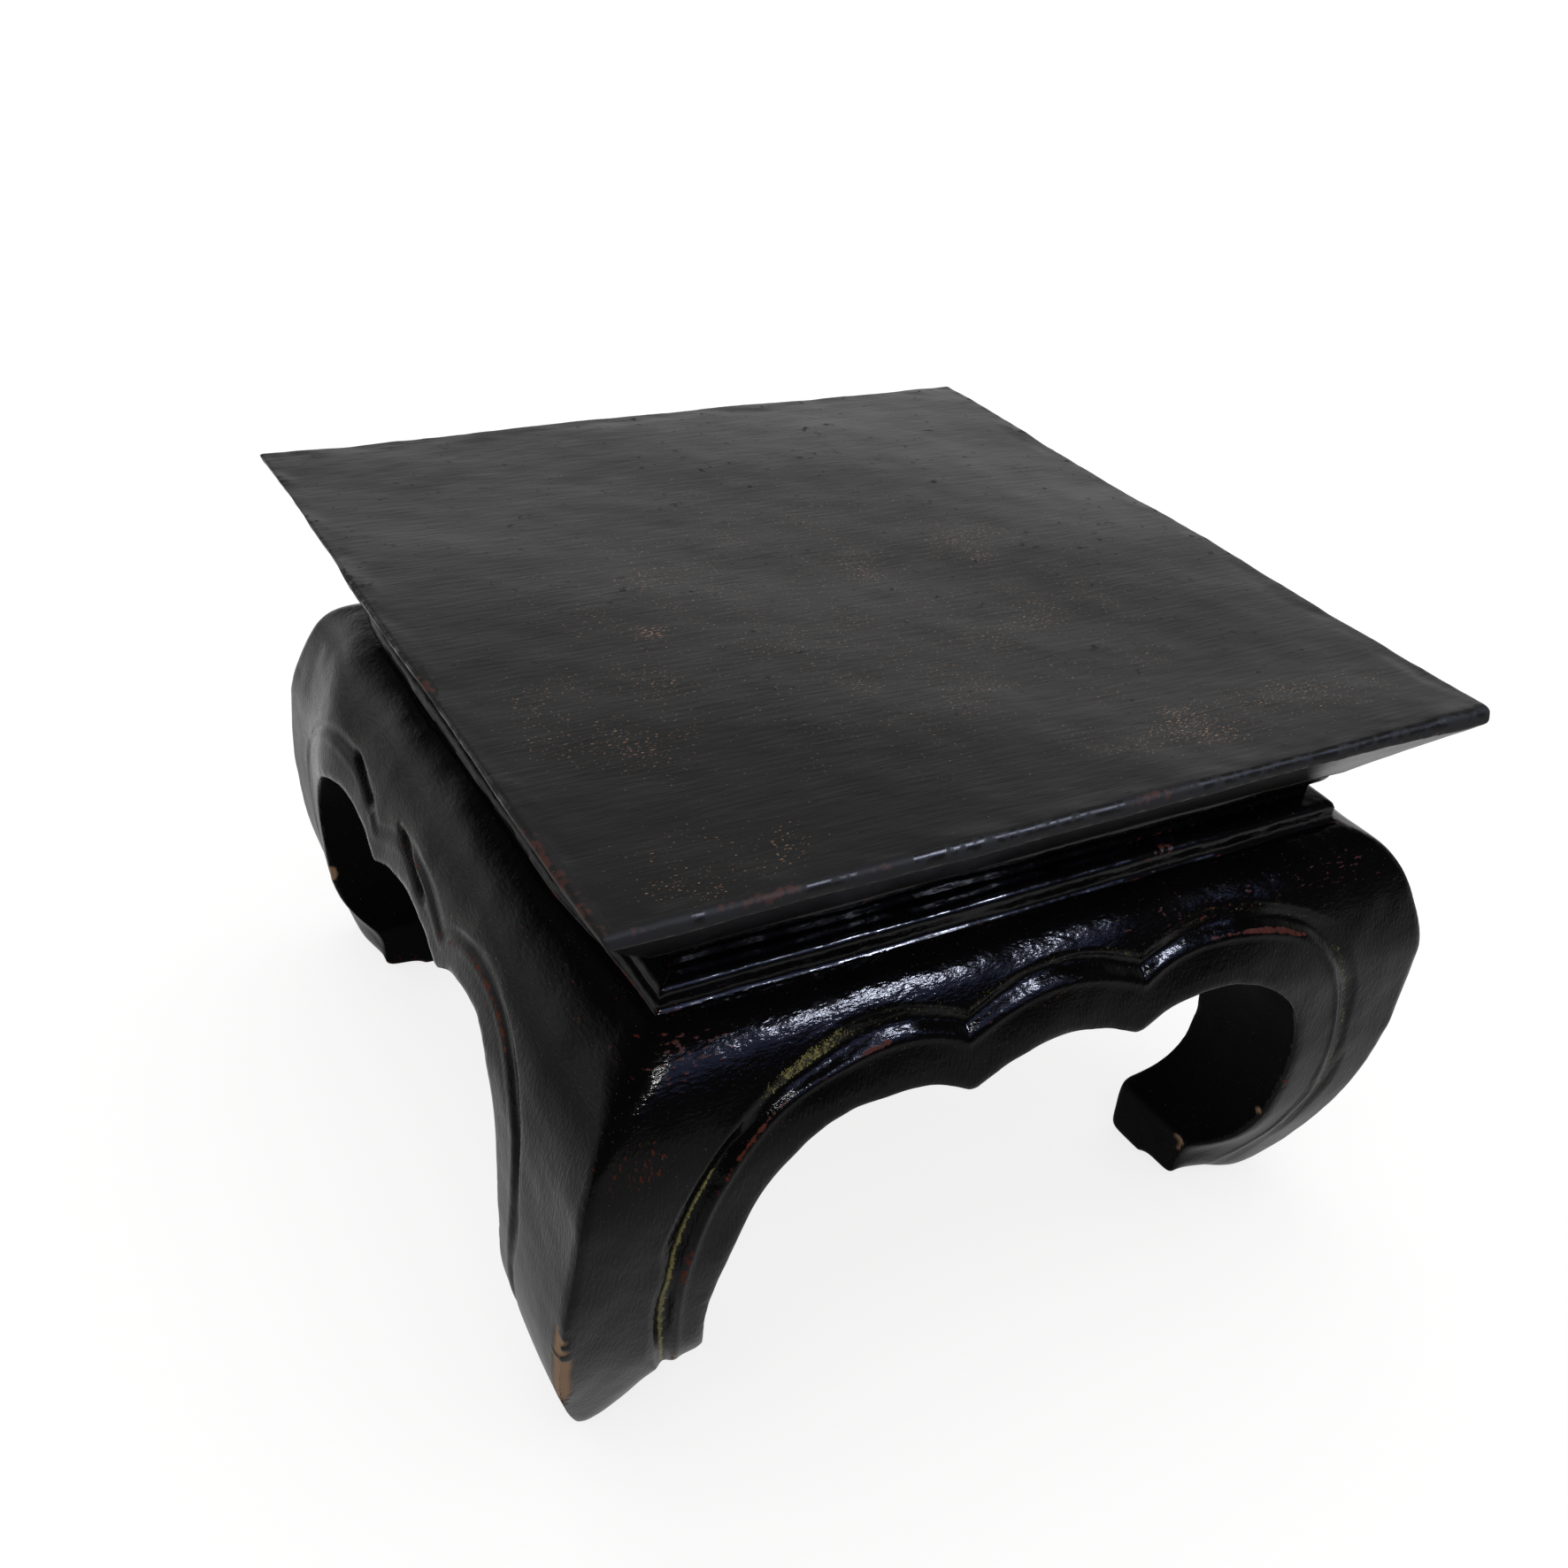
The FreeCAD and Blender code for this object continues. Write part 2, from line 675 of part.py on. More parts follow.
def leg_outline(sole, face):
    """Hooked outline of the leg; face is the curve of the outer face below the calf."""
    tip_foot = (TIP_REACH, 0)
    tip_top = (TIP_REACH, size("tip_height"))
    hook_end = (JOINT, EDGE_END)
    hook_end_way = (-EDGE_WAY[0], -EDGE_WAY[1])
    return [
        line((JOINT, SHOULDER), (SHOULDER_REACH, SHOULDER)),
        *upper_face(),
        face,
        *lines((sole, 0), tip_foot, tip_top),
        curve([tip_top, (HOOK_REACH, HOOK_MIDDLE), hook_end], TIP_TOP_WAY, hook_end_way),
        line(hook_end, (JOINT, SHOULDER)),
    ]


calf = (CALF_REACH, size("calf_height"))
outer_face = curve([calf, (SOLE_REACH, 0)], CALF_WAY, SOLE_WAY)
tip_face = curve([calf, (TIP_FACE_REACH, size("tip_face_height")), (TIP_FACE_REACH, 0)], CALF_WAY, DOWN)
tip_outline = leg_outline(TIP_FACE_REACH, tip_face)
full_outline = leg_outline(SOLE_REACH, outer_face)
side_sawn = doc.addObject("Part::Loft", "leg_sawn_from_side")
side_sawn.Sections = [
    view_sketch("leg_tip_section", SIDE_VIEW, tip_outline, x=min(JOINT, TIP_REACH)),
    view_sketch("leg_heel_section", SIDE_VIEW, full_outline, x=TIP_REACH + size("tip_taper")),
    view_sketch("leg_outer_section", SIDE_VIEW, full_outline, x=OUTSIDE),
]
side_sawn.Ruled = True
side_sawn.Solid = True
leg_shape = boolean("Common", "leg_sawn", side_sawn, diagonal_twin("leg_sawn_from_front", side_sawn))


def leg_groove_side(width, heel_width, foot_width):
    """One side of the leg's groove, from apron to sole, set off from the band by these widths."""
    start = (JOINT, BAND_END + width)
    side = (HOOK_REACH + size("band_leg_width") + width, HOOK_MIDDLE)
    heel = (
        HOOK_REACH + size("band_heel_width") + HEEL_WAY[0] * heel_width,
        size("band_heel_height") + HEEL_WAY[1] * heel_width,
    )
    foot = (TIP_REACH + size("band_tip_width") + foot_width, 0)
    return start, curve([start, side, heel, foot], BAND_WAY, BAND_TIP_WAY), foot


def leg_groove_outline():
    low_start, low_side, low_foot = leg_groove_side(0, 0, 0)
    high_start, high_side, high_foot = leg_groove_side(
        size("groove_width"), size("groove_heel_width"), size("groove_foot_width")
    )
    inside = JOINT - MARGIN
    below_sole = lines(low_foot, (low_foot[0], -MARGIN), (high_foot[0], -MARGIN), high_foot)
    past_joint = lines(high_start, (inside, high_start[1]), (inside, low_start[1]), low_start)
    return [low_side, *below_sole, *reversed_run([high_side]), *past_joint]


leg_groove_zone = extrusion(
    "leg_groove_zone", view_sketch("leg_groove_edge", FRONT_VIEW, leg_groove_outline(), y=-OUTSIDE), INWARDS,
    f"{OUTSIDE - GROOVE_STOP}",
)
leg_groove = boolean("Cut", "leg_groove_front", leg_groove_zone, moved_in("leg_groove_floor", side_sawn))
leg_shape = boolean("Cut", "leg_grooved_front", leg_shape, leg_groove)
leg_shape = boolean("Cut", "leg_grooved", leg_shape, diagonal_twin("leg_groove_side", leg_groove))

leg_post = box(
    "leg_post", JOINT_CELL, f"-{STRIP_BACK_CELL}", f"{SHOULDER_CELL} - Sizes.apron_tenon_drop",
    "Sizes.post_side", "Sizes.post_side", f"{SLAB_FOOT_CELL} - {SHOULDER_CELL} + Sizes.apron_tenon_drop",
)
leg_tenon = box(
    "leg_tenon", f"{JOINT_CELL} + {TENON_INSET_CELL}", f"-{STRIP_BACK_CELL} + {TENON_INSET_CELL}",
    SHOULDER_CELL, "Sizes.tenon_side", "Sizes.tenon_side",
    f"{SLAB_FOOT_CELL} - {SHOULDER_CELL} + Sizes.tenon_height",
)
leg_shape = fused("leg_with_post", [leg_shape, leg_post, leg_tenon])

leg_mortise = box(
    "leg_mortise_front", f"{JOINT_CELL} - Sizes.end_clearance",
    f"-{TENON_FACE_CELL} - Sizes.joint_clearance", f"{TENON_FOOT_CELL} - Sizes.joint_clearance",
    "Sizes.apron_tenon_length + 2 * Sizes.end_clearance",
    "Sizes.apron_tenon_thickness + 2 * Sizes.joint_clearance",
    "Sizes.apron_tenon_height + 2 * Sizes.joint_clearance",
)
leg_sockets = group("leg_sockets", [
    leg_mortise,
    diagonal_twin("leg_mortise_side", leg_mortise),
    peg("leg_peg_hole_front", 1, PEG_HOLE_CELL),
    placed("leg_peg_hole_side", peg("leg_peg_hole_left_end", -1, PEG_HOLE_CELL), SIDES["right"]),
])
leg = boolean("Cut", "leg_pattern", leg_shape, leg_sockets)
legs = [placed(f"leg_{corner}", leg, angle) for corner, angle in CORNERS.items()]


# Pegs and pins


def ring_of(label, make, diameter_cell):
    """Two fasteners on each side of the stand, as one group of separate solids."""
    members = []
    for side, angle in SIDES.items():
        for number, end in enumerate((-1, 1)):
            fastener = make(f"{label}_{side}_{number}", end, diameter_cell)
            turn = Placement(Vector(0, 0, 0), Rotation(UPRIGHT, angle))
            fastener.Placement = turn * fastener.Placement
            members.append(fastener)
    result = group(label, members)
    result.Label = label
    return result


tenon_pegs = ring_of("tenon_pegs", peg, "Sizes.peg_diameter")
bamboo_pins = ring_of("bamboo_pins", pin, "Sizes.pin_diameter")

doc.recompute()

# Check everything before anything is written
NODES = [
    front_board, back_board, *battens, *waist_strips, *moulding_strips, *aprons, *legs,
    tenon_pegs, bamboo_pins,
]
for item in doc.Objects:
    if "Invalid" in item.State or "Error" in item.State:
        raise RuntimeError(f"{item.Label} failed: {item.State}")
for node in NODES:
    if node.Shape.isNull() or not node.Shape.isValid() or not node.Shape.Solids:
        raise RuntimeError(f"{node.Label} is not a valid solid")

os.makedirs("parts", exist_ok=True)
for node in NODES:
    node.Shape.exportStep(f"parts/{node.Label}.step")
    volume = node.Shape.Volume / 1000
    print(f"{node.Label}: {len(node.Shape.Solids)} solid(s), {volume:.1f} cm3, {node.Shape.BoundBox}")
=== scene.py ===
# %% [markdown]
# # A black-lacquered vase stand
# The stand is a low square piece of joinery: a bevelled slab, a narrow waist, bulging aprons and four legs
# that curl inwards into hooks. It was carved by hand and covered with many coats of lacquer, so nothing
# on it is quite straight and no edge is sharp. The measured solids come from the frame. This script gives
# them their soft edges, their wear and their lacquer.

import math

import bmesh
import bpy
import numpy as np
from mathutils import Matrix, Vector


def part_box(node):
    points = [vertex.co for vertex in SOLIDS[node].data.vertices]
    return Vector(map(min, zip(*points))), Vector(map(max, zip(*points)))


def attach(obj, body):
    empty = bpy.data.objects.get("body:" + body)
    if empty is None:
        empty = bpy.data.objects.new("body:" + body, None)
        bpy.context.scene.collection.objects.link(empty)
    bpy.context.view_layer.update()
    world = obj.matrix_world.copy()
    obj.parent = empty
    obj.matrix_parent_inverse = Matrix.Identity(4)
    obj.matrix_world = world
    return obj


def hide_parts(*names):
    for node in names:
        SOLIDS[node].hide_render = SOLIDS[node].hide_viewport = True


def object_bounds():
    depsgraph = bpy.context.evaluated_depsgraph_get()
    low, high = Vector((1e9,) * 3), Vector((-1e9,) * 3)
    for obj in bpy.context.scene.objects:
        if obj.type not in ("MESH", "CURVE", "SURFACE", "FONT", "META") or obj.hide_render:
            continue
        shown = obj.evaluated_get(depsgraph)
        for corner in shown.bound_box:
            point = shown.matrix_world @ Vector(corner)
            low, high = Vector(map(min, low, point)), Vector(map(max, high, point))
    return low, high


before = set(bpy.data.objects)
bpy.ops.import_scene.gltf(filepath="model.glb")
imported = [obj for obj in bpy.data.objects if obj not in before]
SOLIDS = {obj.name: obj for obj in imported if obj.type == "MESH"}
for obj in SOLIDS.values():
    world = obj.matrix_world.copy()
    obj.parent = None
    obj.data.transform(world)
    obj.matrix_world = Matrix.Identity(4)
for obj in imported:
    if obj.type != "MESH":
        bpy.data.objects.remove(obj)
cad_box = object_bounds()

MM = 0.001
SIDES = ("front", "right", "back", "left")
TOP = cad_box[1].z / MM
HALF_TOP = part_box("slab_front_board")[1].x / MM
SLAB_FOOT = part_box("slab_front_board")[0].z / MM
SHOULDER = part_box("moulding_strip_front")[0].z / MM
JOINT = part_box("leg_front_right")[0].x / MM
print("solids", len(SOLIDS), "height", round(TOP, 1), "joint plane", round(JOINT, 1))

# %% [markdown]
# ## Helpers for every material
# Colours are easiest to pick as hex values, but the shader works with linear light, so one function turns
# the first into the second. A second one adds a node to a tree and fills its sockets.


# %% Colour and node helpers
def linear(hex_colour):
    channels = [int(hex_colour[i : i + 2], 16) / 255 for i in (1, 3, 5)]
    return [c / 12.92 if c <= 0.04045 else ((c + 0.055) / 1.055) ** 2.4 for c in channels] + [1.0]


def fill(node, sockets):
    """Give each socket a plain value, a node (its first output) or one output of a node."""
    for key, value in sockets.items():
        if isinstance(value, bpy.types.Node):
            value = value.outputs[0]
        if isinstance(value, bpy.types.NodeSocket):
            node.id_data.links.new(value, node.inputs[key])
        else:
            node.inputs[key].default_value = value


def adder(tree):
    """The function that adds a node to this tree, with its settings, values and links."""

    def add(kind, sockets=None, **settings):
        node = tree.nodes.new(kind)
        for name, value in settings.items():
            setattr(node, name, value)
        fill(node, sockets or {})
        return node

    return add


def new_material(name):
    material = bpy.data.materials.new(name)
    material.use_nodes = True
    add = adder(material.node_tree)
    place = add("ShaderNodeTexCoord").outputs["Object"]
    return material, add, material.node_tree.nodes["Principled BSDF"], place


print("black", [round(c, 4) for c in linear("#0d0c0d")])

# %% [markdown]
# ## Black lacquer over a red ground
# Natural lacquer is a hard, deep, slightly brown-black film with an index of about 1.5. Here it lies over a
# red-brown ground coat, and it was brushed on unevenly, so the surface has the grain of leather. Age has
# rubbed it through on the proud edges, first to the ground coat and then to bare wood, and olive-gold dust
# is left in the grooves. The shape itself knows where its edges and grooves lie, so the meshes carry that
# as marks (attributes), and the material only breaks these marks up with noise.

# %% Lacquer of the carved parts
EDGE_WEAR = 0.6


def lacquer(name, gloss, dullness, specular, grain):
    material, add, shader, place = new_material(name)
    marks = {
        mark: add("ShaderNodeAttribute", attribute_name=mark).outputs["Fac"]
        for mark in ("arris", "ridge", "gilt_and_sheen", "chip", "rub")
    }
    up = add("ShaderNodeSeparateXYZ", {"Vector": place}).outputs["Z"]
    # Patches of about 30 mm, flecks of 2.5 mm and dust of 0.6 mm
    patches = add("ShaderNodeTexNoise", {"Vector": place, "Scale": 33.0, "Detail": 3.0})
    flecks = add("ShaderNodeTexNoise", {"Vector": place, "Scale": 420.0, "Detail": 4.0})
    dust = add("ShaderNodeTexNoise", {"Vector": place, "Scale": 1700.0, "Detail": 2.0})
    # Streaks 0.9 mm wide and 3 mm long: along the aprons under the waist, down the legs below that
    down = add("ShaderNodeMapping", {"Vector": place, "Scale": (1100.0, 1100.0, 330.0)})
    along = add("ShaderNodeMapping", {"Vector": place, "Scale": (330.0, 330.0, 1100.0)})
    down = add("ShaderNodeTexNoise", {"Vector": down, "Scale": 1.0, "Detail": 3.0})
    along = add("ShaderNodeTexNoise", {"Vector": along, "Scale": 1.0, "Detail": 3.0})
    on_apron = add("ShaderNodeMapRange", {"Value": up, "From Min": 0.138, "From Max": 0.15})
    streaks = add("ShaderNodeMix", {0: on_apron, 2: down, 3: along}, data_type="FLOAT")
    film = add("ShaderNodeMix", {0: patches, 6: linear("#060607"), 7: linear("#0e0d0f")}, data_type="RGBA")

    # The ground coat shows on edges, along the ridge of the band, and as streaks where hands have rubbed
    uneven = add("ShaderNodeMath", {0: patches, 1: flecks}, operation="ADD")
    edge = add("ShaderNodeMath", {0: marks["arris"], 1: EDGE_WEAR, 2: uneven}, operation="MULTIPLY_ADD")
    ridge = add("ShaderNodeMath", {0: marks["ridge"], 1: 0.5, 2: edge}, operation="MULTIPLY_ADD")
    bared = add("ShaderNodeMapRange", {"Value": ridge, "From Min": 1.36, "From Max": 1.46})
    rubbing = add("ShaderNodeMath", {0: marks["rub"], 1: 0.17, 2: streaks}, operation="MULTIPLY_ADD")
    streaked = add("ShaderNodeMapRange", {"Value": rubbing, "From Min": 0.76, "From Max": 0.82})
    ground = add("ShaderNodeMath", {0: bared, 1: streaked}, operation="MAXIMUM")
    red = add("ShaderNodeMix", {0: flecks, 6: linear("#2c1009"), 7: linear("#6e2d1a")}, data_type="RGBA")

    # Pale pinholes 0.6 mm wide, gold dust in the grooves, which on the near apron is also a painted sheen,
    # and wood where a chip has come off
    pinholes = add("ShaderNodeMapRange", {"Value": dust, "From Min": 0.72, "From Max": 0.76})
    gilt_and_sheen_amount = add("ShaderNodeMath", {0: dust, 1: 1.8, 2: marks["gilt_and_sheen"]}, operation="MULTIPLY_ADD")
    gilt_and_sheen_amount = add("ShaderNodeMath", {0: flecks, 1: gilt_and_sheen_amount}, operation="ADD")
    # Where this mark is high, the gold colour shows: dust, and on the near apron also a painted sheen
    kept = add("ShaderNodeMapRange", {"Value": gilt_and_sheen_amount, "From Min": 2.05, "From Max": 2.35})
    # Each of them covers the one before
    colour = film.outputs[2]
    for share, coat in (
        (ground, red.outputs[2]),
        (pinholes, linear("#75604e")),
        (kept, linear("#8a8350")),
        (marks["chip"], linear("#a3856c")),
    ):
        colour = add("ShaderNodeMix", {0: share, 6: colour, 7: coat}, data_type="RGBA").outputs[2]

    # Glossy high up, where a cloth reaches; dulled by dust and wet floors lower down
    bare = add("ShaderNodeMath", {0: ground, 1: marks["chip"]}, operation="MAXIMUM")
    dull = add(
        "ShaderNodeMapRange",
        {"Value": up, "From Min": 0.085, "From Max": 0.12, "To Min": dullness, "To Max": gloss},
    )
    film_gloss = add("ShaderNodeMath", {0: patches, 1: 0.1, 2: dull}, operation="MULTIPLY_ADD")
    rough = add("ShaderNodeMix", {0: bare, 2: film_gloss, 3: 0.62}, data_type="FLOAT")

    # Brush dents of some 9 mm, and the grain of the brush along the streaks
    dents = add("ShaderNodeTexNoise", {"Vector": place, "Scale": 110.0, "Detail": 2.0})
    coarse = add("ShaderNodeBump", {"Height": dents, "Strength": 0.25, "Distance": 0.4 * MM})
    relief = {"Height": streaks, "Strength": grain, "Distance": 0.25 * MM, "Normal": coarse}
    fine = add("ShaderNodeBump", relief)
    fill(shader, {"Base Color": colour, "Roughness": rough, "Normal": fine})
    fill(shader, {"IOR": 1.5, "Specular IOR Level": specular})
    return material


FRAME_LACQUER = lacquer("brushed_black_lacquer", gloss=0.07, dullness=0.26, specular=0.085, grain=0.7)
# A dull, barely reflecting copy of the lacquer for faces that do not look outwards: painted shade in the
# hooks and under the frame
SHADED_INNER_LACQUER = lacquer("inner_lacquer_painted_shade", gloss=0.45, dullness=0.45, specular=0.02, grain=0.4)
MOULDING_LACQUER = lacquer("moulding_black_lacquer", gloss=0.08, dullness=0.08, specular=0.16, grain=0.3)
print("lacquers", FRAME_LACQUER.name, SHADED_INNER_LACQUER.name, MOULDING_LACQUER.name)

# %% [markdown]
# ## Satin lacquer on cloth
# The slab was covered with cloth before it was lacquered, and then rubbed to a satin. The threads show as
# fine ridges along the slab, and where hands and pots have worn the film, short tan dashes of thread show
# through in clusters. The ridges are a bump from noise that is stretched along the threads. The clusters
# come from a mark on the mesh.


# %% Lacquer of the slab
def cloth_lacquer():
    material, add, shader, place = new_material("satin_lacquer_on_cloth")
    arris = add("ShaderNodeAttribute", attribute_name="arris").outputs["Fac"]
    worn = add("ShaderNodeAttribute", attribute_name="rub").outputs["Fac"]
    # Patches of about 70 mm and flecks of 3 mm
    patches = add("ShaderNodeTexNoise", {"Vector": place, "Scale": 14.0, "Detail": 3.0})
    flecks = add("ShaderNodeTexNoise", {"Vector": place, "Scale": 300.0, "Detail": 4.0})
    film = add("ShaderNodeMix", {0: patches, 6: linear("#090808"), 7: linear("#110f0e")}, data_type="RGBA")
    # Ground coat on the edge
    uneven = add("ShaderNodeMath", {0: patches, 1: flecks}, operation="ADD")
    edge = add("ShaderNodeMath", {0: arris, 1: 1.1, 2: uneven}, operation="MULTIPLY_ADD")
    bared = add("ShaderNodeMapRange", {"Value": edge, "From Min": 1.38, "From Max": 1.5})
    rubbed = add("ShaderNodeMix", {0: bared, 6: film.outputs[2], 7: linear("#431d11")}, data_type="RGBA")
    # Thread dashes about 1.5 mm long and 0.5 mm wide, in clusters of 25 mm
    stretched = add("ShaderNodeMapping", {"Vector": place, "Scale": (680.0, 2000.0, 0.0)})
    threads = add("ShaderNodeTexNoise", {"Vector": stretched, "Scale": 1.0, "Detail": 1.0})
    clusters = add("ShaderNodeTexNoise", {"Vector": place, "Scale": 40.0, "Detail": 2.0})
    lively = add("ShaderNodeMath", {0: worn, 1: clusters}, operation="MULTIPLY")
    shown = add("ShaderNodeMath", {0: lively, 1: 0.42, 2: threads}, operation="MULTIPLY_ADD")
    dashes = add("ShaderNodeMapRange", {"Value": shown, "From Min": 0.803, "From Max": 0.85})
    thread = add("ShaderNodeMix", {0: flecks, 6: linear("#68351f"), 7: linear("#b4967a")}, data_type="RGBA")
    colour = add("ShaderNodeMix", {0: dashes, 6: rubbed.outputs[2], 7: thread.outputs[2]}, data_type="RGBA")
    # Satin all over, and dull where the edge is scuffed
    satin = add("ShaderNodeMapRange", {"Value": patches, "To Min": 0.28, "To Max": 0.4})
    scuffs = add("ShaderNodeMath", {0: arris, 1: 3.0, 2: flecks}, operation="MULTIPLY_ADD")
    dulled = add("ShaderNodeMapRange", {"Value": scuffs, "From Min": 0.66, "From Max": 0.8})
    rough = add("ShaderNodeMix", {0: dulled, 2: satin, 3: 0.65}, data_type="FLOAT")
    # Rows of threads, about 1 mm apart on the stand but drawn at 1.6 mm to show, and wrinkles of some 12 mm
    rows = add("ShaderNodeMapping", {"Vector": place, "Scale": (80.0, 620.0, 80.0)})
    ridges = add("ShaderNodeTexNoise", {"Vector": rows, "Scale": 1.0, "Detail": 3.0})
    wrinkles = add("ShaderNodeTexNoise", {"Vector": place, "Scale": 85.0, "Detail": 3.0})
    coarse = add("ShaderNodeBump", {"Height": wrinkles, "Strength": 0.25, "Distance": 0.3 * MM})
    relief = {"Height": ridges, "Strength": 0.36, "Distance": 0.25 * MM, "Normal": coarse}
    fine = add("ShaderNodeBump", relief)
    fill(shader, {"Base Color": colour.outputs[2], "Roughness": rough, "Normal": fine})
    fill(shader, {"IOR": 1.4, "Specular IOR Level": 0.38})
    return material


TOP_LACQUER = cloth_lacquer()
print("top", TOP_LACQUER.name)

# %% [markdown]
# ## Bare wood and bamboo
# Nobody lacquers what stays out of sight: battens, pegs and the underside are plain wood, brown with age.
# The grain is a wave that runs across the piece and is pushed about by noise. Bamboo is paler, and its
# fibres are fine parallel lines.


# %% Wood finishes
def plain_wood(name, dark, pale, ring_scale, stretch):
    material, add, shader, place = new_material(name)
    along = add("ShaderNodeMapping", {"Vector": place, "Scale": stretch})
    # The wave repeats every 314 mm divided by its scale: rings of 8 and 10 mm, and bamboo fibres of 2 mm
    rings = add(
        "ShaderNodeTexWave",
        {"Vector": along, "Scale": ring_scale, "Distortion": 6.0, "Detail": 3.0, "Detail Scale": 1.5},
    )
    fine_scale = 9.0 * ring_scale
    fibres = add("ShaderNodeTexNoise", {"Vector": along, "Scale": fine_scale, "Detail": 4.0})
    figure = add("ShaderNodeMath", {0: rings, 1: fibres}, operation="MULTIPLY")
    colour = add("ShaderNodeMix", {0: figure, 6: linear(dark), 7: linear(pale)}, data_type="RGBA")
    rough = add("ShaderNodeMapRange", {"Value": fibres, "To Min": 0.55, "To Max": 0.8})
    bump = add("ShaderNodeBump", {"Height": figure, "Strength": 0.4, "Distance": 0.3 * MM})
    fill(shader, {"Base Color": colour.outputs[2], "Roughness": rough, "Normal": bump})
    return material


BARE_WOOD = plain_wood("aged_softwood", "#3a2817", "#7a5937", ring_scale=40.0, stretch=(1, 0.12, 1))
# The underside of the slab gets darker colours than the battens
UNDERSIDE_WOOD = plain_wood("darker_underside_softwood", "#1d150e", "#4a3623", ring_scale=30.0, stretch=(0.1, 1, 1))
BAMBOO = plain_wood("split_bamboo", "#8a6c3e", "#c9ae74", ring_scale=160.0, stretch=(1, 1, 0.05))
print("woods", BARE_WOOD.name, UNDERSIDE_WOOD.name, BAMBOO.name)

# %% [markdown]
# ## From sawn solids to carved wood
# A carver's edge is eased by the knife, the sandpaper and ten coats of lacquer. One could bevel each edge
# of the solid, but a bevel is as even as a machine's. Here the solids are rebuilt as one fine skin of small
# squares (a voxel remesh), each point is moved a little towards its neighbours, and slow random swells
# push the skin in and out. All pieces of the carved frame share one skin until the end, and are then parted
# at their joints, so that the lacquer runs over the joints as it does on the real stand.


# %% Tools that work on all the points of a skin at once
def skin(nodes, voxel):
    """Points (in millimetres) and squares of one closed skin over several solids."""
    joined = bmesh.new()
    for node in nodes:
        joined.from_mesh(SOLIDS[node].data)
    mesh = bpy.data.meshes.new("raw")
    joined.to_mesh(mesh)
    joined.free()
    raw = bpy.data.objects.new("raw", mesh)
    bpy.context.scene.collection.objects.link(raw)
    remesh = raw.modifiers.new("voxels", "REMESH")
    remesh.mode = "VOXEL"
    remesh.voxel_size = voxel * MM
    shown = bpy.data.meshes.new_from_object(raw.evaluated_get(bpy.context.evaluated_depsgraph_get()))
    bpy.data.objects.remove(raw)
    flat = np.empty(len(shown.vertices) * 3, np.float32)
    shown.vertices.foreach_get("co", flat)
    square = np.empty(len(shown.loops), np.int32)
    shown.loops.foreach_get("vertex_index", square)
    return outer_part(flat.reshape(-1, 3).astype(float) / MM, square.reshape(-1, 4))


def outer_part(points, squares):
    """Only the largest connected part of a skin: what is left out are closed voids inside the joints."""
    label = np.arange(len(points))
    starts, ends = squares.ravel(), np.roll(squares, -1, axis=1).ravel()
    while True:
        lowest = label.copy()
        np.minimum.at(lowest, starts, label[ends])
        lowest = lowest[lowest]
        if (lowest == label).all():
            break
        label = lowest
    main = np.bincount(label).argmax()
    kept = label == main
    renumber = np.cumsum(kept) - 1
    return points[kept], renumber[squares[kept[squares[:, 0]]]]


def eased(points, squares, passes, freedom=None, only_along=None):
    """Move points half of the way to the mean of their neighbours, again and again.

    With freedom (0 to 1 for each point) only those points move. With only_along (yes or no for each point)
    only neighbours that are marked too count, so that a marked edge is faired along its own line.
    """
    starts, ends = squares.ravel(), np.roll(squares, -1, axis=1).ravel()
    if only_along is not None:
        freedom = only_along.astype(float)
        wanted = only_along[starts] & only_along[ends]
    elif freedom is not None:
        wanted = freedom[starts] > 0
    else:
        freedom, wanted = np.ones(len(points)), np.ones(len(starts), bool)
    starts, ends = starts[wanted], ends[wanted]
    used = np.union1d(starts, ends)
    renumber = np.zeros(len(points), int)
    renumber[used] = np.arange(len(used))
    starts, ends = renumber[starts], renumber[ends]
    part = points[used]
    count = np.bincount(starts, minlength=len(used))[:, None]
    share = np.where(count > 0, 0.5 * freedom[used, None], 0) / np.maximum(count, 1)
    for _ in range(passes):
        total = [np.bincount(starts, part[ends, axis], len(used)) for axis in range(3)]
        part = part + share * (np.stack(total, axis=1) - count * part)
    moved = points.copy()
    moved[used] = part
    return moved


def outward(points, squares):
    """Unit normal at each point."""
    a, b, c, d = (points[squares[:, k]] for k in range(4))
    facing = np.cross(c - a, d - b)
    total = np.zeros_like(points)
    for k in range(4):
        for axis in range(3):
            total[:, axis] += np.bincount(squares[:, k], facing[:, axis], len(points))
    return total / np.maximum(np.linalg.norm(total, axis=1, keepdims=True), 1e-9)


def swell(points, wavelength, seed):
    """Smooth random height of about 1, the same for every piece at the same place: a dozen plane waves."""
    draw = np.random.default_rng(seed)
    ways = draw.normal(size=(12, 3))
    lengths = np.linalg.norm(ways, axis=1, keepdims=True)
    ways *= 2 * math.pi / wavelength * draw.uniform(0.7, 1.4, size=(12, 1)) / lengths
    phases = draw.uniform(0, 2 * math.pi, size=12)
    return np.sin(points @ ways.T + phases).sum(axis=1) / math.sqrt(6)


def ramp(value, low, high):
    """0 below low, 1 above high, and a smooth rise between them."""
    share = np.clip((value - low) / (high - low), 0, 1)
    return share * share * (3 - 2 * share)


def away_from(points, place, half_sizes):
    """Distance of each point from a place, counted in half sizes."""
    return np.sqrt((((points - place) / half_sizes) ** 2).sum(axis=1))


def swollen(points, squares, heights):
    """Slow swells: for each wavelength, how far they push the surface in and out."""
    normals = outward(points, squares)
    for wavelength, height in heights.items():
        points = points + normals * height * swell(points, wavelength, int(wavelength))[:, None]
    return points


def proudness(points, squares, spacing, passes=10):
    """How far each point stands out from its eased surroundings, as a share of the spacing."""
    normals = outward(points, squares)
    return ((points - eased(points, squares, passes)) * normals).sum(axis=1) / spacing


